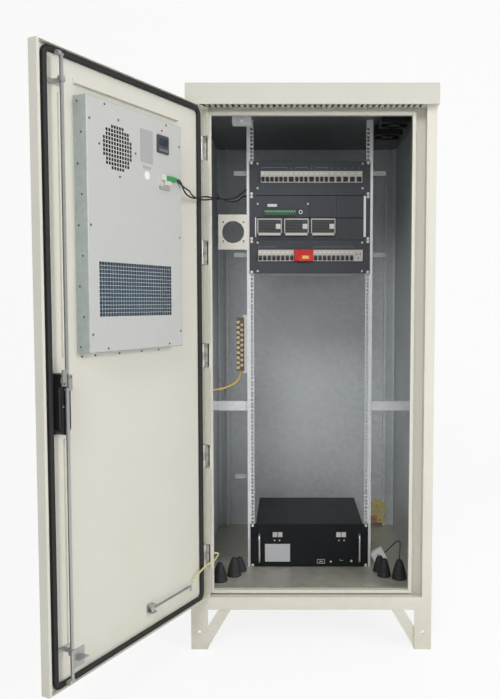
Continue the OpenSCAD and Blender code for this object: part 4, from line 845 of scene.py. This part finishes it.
# Rack face
rackSet = {"face": 284.0, "nose": 278.0, "plate": 285.0, "upperZ": 1799.3, "lowerZ": 1488.2, "bay": 107.25,
           "firstBay": -160.9, "strip": (11, 1.0, 5.0), "stripUp": 13,
           "upper": (-196.0, [(6, 18), (1, 27), (3, 18), (1, 27), (3, 18), (5, 27)]),
           "lower": (-207.0, [(8, 18)]), "tail": (14.0, [(9, 18)]),
           "screws": [(x, z) for x in (-209, 210) for z in (1852, 1755, 1540, 1426)] + [(-209, 1693), (-7, 1693)],
           "brackets": [(-193, -91, 1836), (-58, -10, 1836), (23, 71, 1836), (-205, -137, 1522), (16, 174, 1522)],
           "ticks": (-74.5, 6.5, 87.5, 114.5, 141.5, 168.5, 195.5), "tickZ": (1830, 1837), "line": 1.2,
           "fanScrews": [(-346, 1621), (-265, 1621), (-346, 1546), (-265, 1546)],
           "bayStrips": [(215, 224.5, 1562, 1725), (-219, -214.6, 1562, 1640)]}


def polePlaces(row):
    start, groups = rackSet[row]
    places = []
    for wide in [wide for count, wide in groups for i in range(count)]:
        places.append(start + wide / 2)
        start += wide
    return places


def dressPanels():
    face, nose, line = rackSet["face"], rackSet["nose"], rackSet["line"]
    setHeads("panelScrews", [(x, face, z) for x, z in rackSet["screws"]], outward, "cabinet", 4.6, 2.4, 1.1,
             paleMark)
    # Small bare name strips on the poles
    rows = (("upper", "upperZ"), ("lower", "lowerZ"), ("tail", "lowerZ"))
    growPiece("poleStrips", "fins", [(x, nose, rackSet[z] + rackSet["stripUp"]) for row, z in rows
                                     for x in polePlaces(row)],
              paleMark, "cabinet", {"Fin Size": rackSet["strip"]})
    # Thin brackets over the groups
    back, front = face - 0.5, face + 0.2
    boxes = []
    for x0, x1, z in rackSet["brackets"]:
        boxes.append(((x0, back, z), (x1, front, z + line)))
        boxes += [((x, back, z - 6), (x + line, front, z + 0.2)) for x in (x0, x1 - line)]
    z0, z1 = rackSet["tickZ"]
    boxes += [((x - 1, back, z0), (x + 1, front, z1)) for x in rackSet["ticks"]]
    formPiece("panelLines", makeFinish("lineGrey", printed(tone(132, 134, 138))), "cabinet", boxes,
              edge=0)
    formPiece("fanPlateScrews", screwGrey, "cabinet",
              turned=[((x, rackSet["plate"], z), outward, [(4.0, -0.6), (4.0, 0.25), (3.4, 0.45)], 14)
                      for x, z in rackSet["fanScrews"]])
    formPiece("bayStrips", railZinc, "cabinet",
              [((x0, face - 1.5, z0), (x1, face, z1)) for x0, x1, z0, z1 in rackSet["bayStrips"]])


dressPanels()

plugSet = {"slots": 12, "start": -176.0, "pitch": 10.4, "front": 275.0, "knob": (-36.5, 279.0, 1660.2),
           "plate": (-169, -131, 1682, 1693), "screwZ": 1663, "mouthZ": (1650, 1657)}


def dressController():
    face, front = rackSet["face"], plugSet["front"]
    x0, x1, z0, z1 = plugSet["plate"]
    formPiece("controllerPlate", paleMark, "cabinet",
              [((x0, face + 0.6, z0), (x1, face + 1.6, z1))], edge=0.2)
    places = [plugSet["start"] + plugSet["pitch"] * i for i in range(plugSet["slots"])]
    setHeads("clampScrews", [(x, front, plugSet["screwZ"]) for x in places], outward, "cabinet", 2.4, 0.8, 0.7)
    z0, z1 = plugSet["mouthZ"]
    # Black inlays under the clamp screws stand for the dark wire openings: painted shade
    formPiece("clampMouths", blackPlastic, "cabinet",
              [((x - 3, front - 0.5, z0), (x + 3, front + 0.3, z1)) for x in places], edge=0.3)
    ring = [(8.4, -4.5), (8.4, 1.2), (7.6, 1.8), (5.4, 1.8), (4.8, 0.6), (0.5, 0.6)]
    formPiece("knobRing", paleMark, "cabinet", turned=[(plugSet["knob"], outward, ring)])
    formPiece("knobSocket", blackPlastic, "cabinet",
              turned=[(plugSet["knob"], outward, [(4.4, 0.4), (4.4, 1.3), (3.6, 1.6)])])


dressController()

rimSet = {"half": 49.0, "low": 1577.0, "high": 1635.4, "bar": 5.5, "side": 4.0, "latch": (25.0, 44.0, 1594.0, 1614.0),
          "ribs": 8, "ribHalf": 44, "ribLow": 1580, "ribPitch": 6, "ribHigh": 2.2}


def dressRectifiers():
    face, half, low, high = rackSet["face"], rimSet["half"], rimSet["low"], rimSet["high"]
    x0, x1, z0, z1 = rimSet["latch"]
    foots = [rimSet["ribLow"] + rimSet["ribPitch"] * k for k in range(rimSet["ribs"])]
    for i in range(3):
        mid, tail = rackSet["firstBay"] + rackSet["bay"] * i, str(i + 1)
        boxes = [((mid - half, face - 4, high - rimSet["bar"]), (mid + half, face, high))]
        boxes += [((x, face - 3.5, low), (x + rimSet["side"], face, high - rimSet["bar"] + 0.5))
                  for x in (mid - half, mid + half - rimSet["side"])]
        formPiece("unitRim" + tail, lightGrey, "module_" + tail, boxes, edge=0.7)
        formPiece("unitLatch" + tail, paleMark, "module_" + tail,
                  [((mid + x0, face - 4, z0), (mid + x1, face + 0.5, z1)),
                   ((mid + x0 + 4, face - 6, z0 + 6), (mid + x1 - 4, face - 3.5, z0 + 10))], edge=0.9)
        formPiece("unitRibs" + tail, makeFinish("unitGrille" + tail, panelCoat(grilleSet, 0.45)), "module_" + tail,
                  [((mid - rimSet["ribHalf"], face - 1.2, z),
                                  (mid + rimSet["ribHalf"], face + 0.5, z + rimSet["ribHigh"])) for z in foots],
                  edge=0.3)


dressRectifiers()

surgeSet = {"face": 270.0, "window": (-30, -4, 1474, 1487), "slots": [(184.5, 1489), (200, 1489), (192.3, 1473)],
            "caps": [(-61.5, -46, 1468, 1508, 2.5), (-42, 10, 1491, 1507, 1.2)]}


def dressSurge():
    face, nose = surgeSet["face"], rackSet["nose"]
    x0, x1, z0, z1 = surgeSet["window"]
    formPiece("surgeWindow", makeFinish("surgeAmber", moulded(tone(240, 186, 112), 0.25)), "cabinet",
              [((x0, face - 1.2, z0), (x1, face + 0.5, z1))], edge=0.5)
    formPiece("surgeCap", makeFinish("surgeRed", moulded(tone(188, 36, 28), 0.3)), "cabinet",
              [((x0, face - out, z0), (x1, face + 0.5, z1)) for x0, x1, z0, z1, out in surgeSet["caps"]], edge=0.8)
    # Black inlays on the socket's face stand for its slots' dark insides: painted shade
    formPiece("socketMouths", blackPlastic, "cabinet",
              [((x, nose - 0.4, z), (x + 3.2, nose + 0.4, z + 9)) for x, z in surgeSet["slots"]], edge=0.2)


dressSurge()

# Battery face, with lines as (x0, x1, z0, z1)
batterySpots = {"y": 284.0, "step": 5, "plate": (-182, -79, 236, 310), "dots": (-143, -122, 122, 143), "dotZ": 325.0,
                "knob": (89, 236), "switch": (173, 240),
                "port": [(32, 64, 230, 232.5), (32, 64, 245.5, 247.5), (32, 34, 232, 246), (62, 64, 232, 246),
                         (42, 54, 237, 241)],
                "mark": [(126, 140, 240, 241.6), (126, 127.6, 241, 247)]}


def dressBattery():
    y = batterySpots["y"]
    front = y - batterySpots["step"]
    x0, x1, z0, z1 = batterySpots["plate"]
    formPiece("batteryPlate", makeFinish("foilPlate", printed(tone(186, 187, 192), 0.3)), "cabinet",
              [((x0, y - 0.9, z0), (x1, y + 0.2, z1))], edge=0.3)
    dots = [((x, y, batterySpots["dotZ"]), outward, [(3.0, -0.3), (3.0, 0.7), (2.4, 1.0)], 14)
            for x in batterySpots["dots"]]
    (x0, z0), (x1, z1) = batterySpots["knob"], batterySpots["switch"]
    dots += [((x0, y, z0), outward, [(4.0, -0.3), (4.0, 1.4), (3.0, 1.9)], 16),
             ((x1, front, z1), outward, [(4.6, -0.3), (4.6, 0.8), (3.6, 1.4)], 16)]
    formPiece("batteryDots", paleMark, "cabinet", turned=dots)
    boxes = [((x0, front - 0.8, z0), (x1, front + 0.3, z1)) for x0, x1, z0, z1 in batterySpots["port"]]
    boxes += [((x0, y - 0.6, z0), (x1, y + 0.2, z1)) for x0, x1, z0, z1 in batterySpots["mark"]]
    formPiece("batteryPort", steel, "cabinet", boxes, edge=0.2)


dressBattery()

# Earthing and floor
earthSet = {"barZ": 1034.0, "barY": 318.0, "columns": (-290.5, -275.5), "rows": 10, "pitch": 20.6, "plateY": 851.0,
            "plate": (304.0, 385.0, 229.0, 346.0), "thick": 4.0, "wall": 875.0, "inset": 9, "lowBolt": 42,
            "studs": [(345, 312), (330, 290), (358, 290), (358, 246)], "pad": (308, 346, 231, 264),
            "padStud": (331, 247), "dots": [(283, 310, 257), (293.5, 310, 241), (-266, 203, 2012)]}


def dressEarth():
    spots = [(x, earthSet["barY"], earthSet["barZ"] + earthSet["pitch"] * (i + column * 0.5))
             for column, x in enumerate(earthSet["columns"]) for i in range(earthSet["rows"] - column)]
    setHeads("barScrews", spots, outward, "cabinet", 6.8, 4.4, 1.5, brass)
    y, thick, inset = earthSet["plateY"], earthSet["thick"], earthSet["inset"]
    x0, x1, z0, z1 = earthSet["plate"]
    corners = [(x, z) for x in (x0 + inset, x1 - inset) for z in (z1 - inset, z0 + earthSet["lowBolt"])]
    spacer = [(5, 0), (5, earthSet["wall"] - y - thick + 0.5)]
    formPiece("earthPlate", goldZinc, "cabinet", [((x0, y, z0), (x1, y + thick, z1), 0.8, 2)],
              [((x, y + thick - 0.5, z), inward, spacer, 16) for x, z in corners], stands=("earth_plate",))
    setHeads("plateBolts", [(x, y, z) for x, z in corners], outward, "cabinet", 6.6, 5.0, 1.4, boltPlatingAndHighlight)
    setHeads("plateStuds", [(x, y, z) for x, z in earthSet["studs"]], outward, "cabinet", 5.0, 5.0, 1.2, goldZinc)
    copper = makeFinish("copperPad", plated(tone(214, 160, 132), tone(184, 126, 100), 0.3, 0.4))
    x0, x1, z0, z1 = earthSet["pad"]
    formPiece("copperPad", copper, "cabinet", [((x0, y - 1.6, z0), (x1, y + 0.3, z1))])
    x, z = earthSet["padStud"]
    setHeads("copperStud", [(x, y - 1.6, z)], outward, "cabinet", 5.0, 5.0, 1.2, copper)
    formPiece("sensorDots", blackPlastic, "cabinet",
              turned=[(spot, outward, [(2.6, -0.4), (2.6, 0.3), (2.2, 0.5)], 12) for spot in earthSet["dots"]])


dressEarth()

# Lock cover on the inside of the door
lockSet = {"left": 315.0, "right": 359.0, "low": 932.0, "high": 1066.0, "back": 10.0, "front": 41.0,
           "screws": [(340, 1059), (330, 1014), (347, 1012), (336, 945)]}


def dressLock():
    bm = bmesh.new()
    left, right, low, high = lockSet["left"], lockSet["right"], lockSet["low"], lockSet["high"]
    back, front = lockSet["back"], lockSet["front"]
    half = (right - left) / 2
    middle = left + half
    outline = [(left, high), (right, high)]
    outline += [(middle + half * math.cos(a), low + half + half * math.sin(a))
                for a in [-math.pi * k / 12 for k in range(13)]]
    joinRings(bm, [[bm.verts.new((middle + (x - middle) * f, y, z)) for x, z in outline]
                   for y, f in ((back, 1.0), (front - 3, 1.0), (front, 0.9))])
    for x in (left + 9, middle - 2, right - 13):
        bevelBox(bm, (x, front - 1, low + 30), (x + 4, front + 1.2, high - 8), 0.6)
    putPiece("lockCover", closeMesh("lockCover", bm), blackPlastic, "door")
    setHeads("lockScrews", [(x, front + 0.2, z) for x, z in lockSet["screws"]], inward, "door", 3.4, 1.8)


dressLock()

# CAD pieces keep their shape and take their finish here
insidePanel = makeFinish("skinnedSidePanel", mainPaint, zincSheet, within(skinSet["half"]))
insideRear = makeFinish("skinnedRearPanel", mainPaint, zincSheet,
                        lambda at: (at.axis("y") < skinSet["half"]) * within(skinSet["half"])(at))
# The ceiling's underside takes the dark zinc: painted shade
insideCeiling = makeFinish("skinnedCeiling", mainPaint, darkZincPaintedShade, below("z", skinSet["ceiling"]))
# Rail fronts in the lighter zinc, their backs in the dark zinc: painted shade on the backs
railFinish = makeFinish("rackRail", lightZinc, darkZincPaintedShade, above("y", skinSet["railBack"]))
breakerFinish = makeFinish("breakerCase", moulded(tone(192, 189, 182), 0.4, 900.0, 0.06), black,
                           below("y", skinSet["breaker"]))
poleFinish = makeFinish("terminalBlock", black, brushedSteel, below("y", skinSet["terminal"]))
plugFinish = makeFinish("plugBlock", printed(tone(160, 160, 163)), moulded(tone(60, 150, 84)),
                        above("z", skinSet["plug"]))
barFinish = makeFinish("earthBar", printed(tone(252, 250, 244)),
                       plated(tone(128, 110, 82), tone(98, 84, 62), 0.34, 0.4), below("y", skinSet["earthBar"]))
unitFinish = makeFinish("unitFace", panelGrey, moulded(tone(190, 187, 180), 0.38, 800.0, 0.06),
                        below("y", skinSet["unit"]))
controlFinish = makeFinish("controlFace", panelGrey, moulded(tone(58, 112, 78), 0.4),
                           lambda at: (at.axis("y") < skinSet["unit"]) * (at.axis("x") < skinSet["control"]))
earFinish = makeFinish("subrackCase", zincSheet, panelGrey, below("y", skinSet["ear"]))

nodeFinish = {
    paint: ["plinth_frame", "front_frame", "door_leaf", "door_liner", "fan_mount_plate", "ac_outer_cover"],
    roofCoatPaintedShade: ["roof_cap"],
    coverPaint: ["ac_inner_cover"],
    insidePanel: ["left_side_panel", "right_side_panel"],
    insideRear: ["rear_panel"],
    insideCeiling: ["ceiling_panel"],
    chassisZincPaintedShade: ["ac_chassis", "evaporator_coil"],
    railFinish: ["left_rack_rail", "right_rack_rail"],
    bracketZinc: ["rail_brackets"],
    floorZinc: ["floor_pan"],
    earFinish: ["subrack_chassis"],
    hingeLeafAndPaintedShadow: ["hinge_frame_leaves"],
    steel: ["hinge_pins", "hinge_door_leaves", "lock_cam", "upper_rod", "lower_rod",
            "door_guides", "door_stay", "battery_handles"],
    rubber: ["cable_glands", "door_gasket"],
    blackPlastic: ["exhaust_fan_frames", "exhaust_impeller_1", "exhaust_impeller_2", "blower_wheel",
                   "lock_housing", "swing_handle"],
    displayCase: ["ac_display"],
    boxWhite: ["door_switch", "water_sensor"],
    cream: ["rack_screws"],
    greyPanel: ["upper_breaker_panel", "blank_covers", "lower_breaker_panel"],
    controlFinish: ["controller_unit"],
    unitFinish: ["rectifier_1", "rectifier_2", "rectifier_3"],
    darkPanel: ["battery_case"],
    breakerFinish: ["upper_breakers", "lower_breakers"],
    poleFinish: ["battery_terminals"],
    redPlastic: ["surge_cover"],
    plugFinish: ["ac_plug"],
    barFinish: ["earth_bar"],
    goldZinc: ["earth_plate"],
    blackSheath: ["door_harness", "sensor_lead"],
    earthSheath: ["earth_lead"],
    strapSheath: ["bonding_strap"],
}
for finish, names in nodeFinish.items():
    for name in names:
        solid = nodes[name].data
        solid.materials.clear()
        solid.materials.append(finish)
bare = sorted(set(nodes) - {n for names in nodeFinish.values() for n in names})
print("solids coated:", len(nodes) - len(bare), "left bare:", bare)

# Stage and light, in metres
white = (1, 1, 1, 1)
stageSet = {"floor": tone(244, 244, 244), "size": 60.0, "lift": 0.85, "depth": 3.4, "rise": 20.0, "steps": 10,
            "air": 0.38}
lampSet = {"keyBox": ((-1.5, -8.5, 6.8), (0, -0.2, 0.8), 3.5, 312),
           "fillBox": ((3.9, -2.9, 2.5), (0, -0.2, 1.0), 2.4, 116),
           "topBox": ((0, -0.4, 4.8), (0, 0, 1.0), 3.0, 15)}


def studioPaper():
    # Matt paper that the camera sees close to white, with the shadow kept
    paper = makeFinish("studioPaper", printed(stageSet["floor"], 0.7))
    tree = paper.node_tree
    path = Sock(tree, tree.nodes.new("ShaderNodeLightPath").outputs["Is Camera Ray"])
    ending = next(n for n in tree.nodes if n.type == "OUTPUT_MATERIAL")
    lit = Sock(tree, ending.inputs["Surface"].links[0].from_socket)
    glow = path.node("ShaderNodeEmission", None, {"Color": white, "Strength": 1.0})
    both = path.node("ShaderNodeMixShader", None, {0: path * stageSet["lift"], 1: lit, 2: glow})
    tree.links.new(both.out, ending.inputs["Surface"])
    return paper


def setStage():
    # Floor that sweeps up into a wall behind the cabinet, with a bend of one metre
    bm = bmesh.new()
    half, depth, steps = stageSet["size"] / 2, stageSet["depth"], stageSet["steps"]
    arc = [math.pi / 2 * k / steps for k in range(1, steps + 1)]
    rows = [(-half, 0.0), (depth - 1, 0.0)] + [(depth - 1 + math.sin(a), 1 - math.cos(a)) for a in arc]
    lines = [[bm.verts.new((x, y, z)) for x in (-half, half)] for y, z in rows + [(depth, stageSet["rise"])]]
    for a, b in zip(lines, lines[1:]):
        bm.faces.new((a[0], a[1], b[1], b[0]))
    sweep = addObject("studioSweep", closeMesh("studioSweep", bm, True))
    sweep.data.materials.append(studioPaper())


def setLight():
    world = bpy.data.worlds.new("studioAir")
    bpy.context.scene.world = world
    world.use_nodes = True
    tree = world.node_tree
    tree.nodes.clear()
    path = tree.nodes.new("ShaderNodeLightPath")
    camera, glossy, through = (Sock(tree, path.outputs[ray]) for ray in
                               ("Is Camera Ray", "Is Glossy Ray", "Is Transmission Ray"))
    seen = camera + glossy + through
    dim = seen.node("ShaderNodeBackground", None, {"Color": white, "Strength": stageSet["air"]})
    full = seen.node("ShaderNodeBackground", None, {"Color": white, "Strength": 1.0})
    both = seen.node("ShaderNodeMixShader", None, {0: seen.clipped(), 1: dim, 2: full})
    seen.node("ShaderNodeOutputWorld", None, {"Surface": both})
    for name, (spot, aim, size, power) in lampSet.items():
        lamp = bpy.data.lights.new(name, "AREA")
        lamp.shape, lamp.size, lamp.energy = "DISK", size, power
        holder = addObject(name, lamp)
        holder.location = spot
        holder.rotation_euler = (Vector(aim) - Vector(spot)).to_track_quat("-Z", "Y").to_euler()


setStage()
setLight()
bpy.context.scene.view_settings.view_transform = "Standard"
print("stage set")
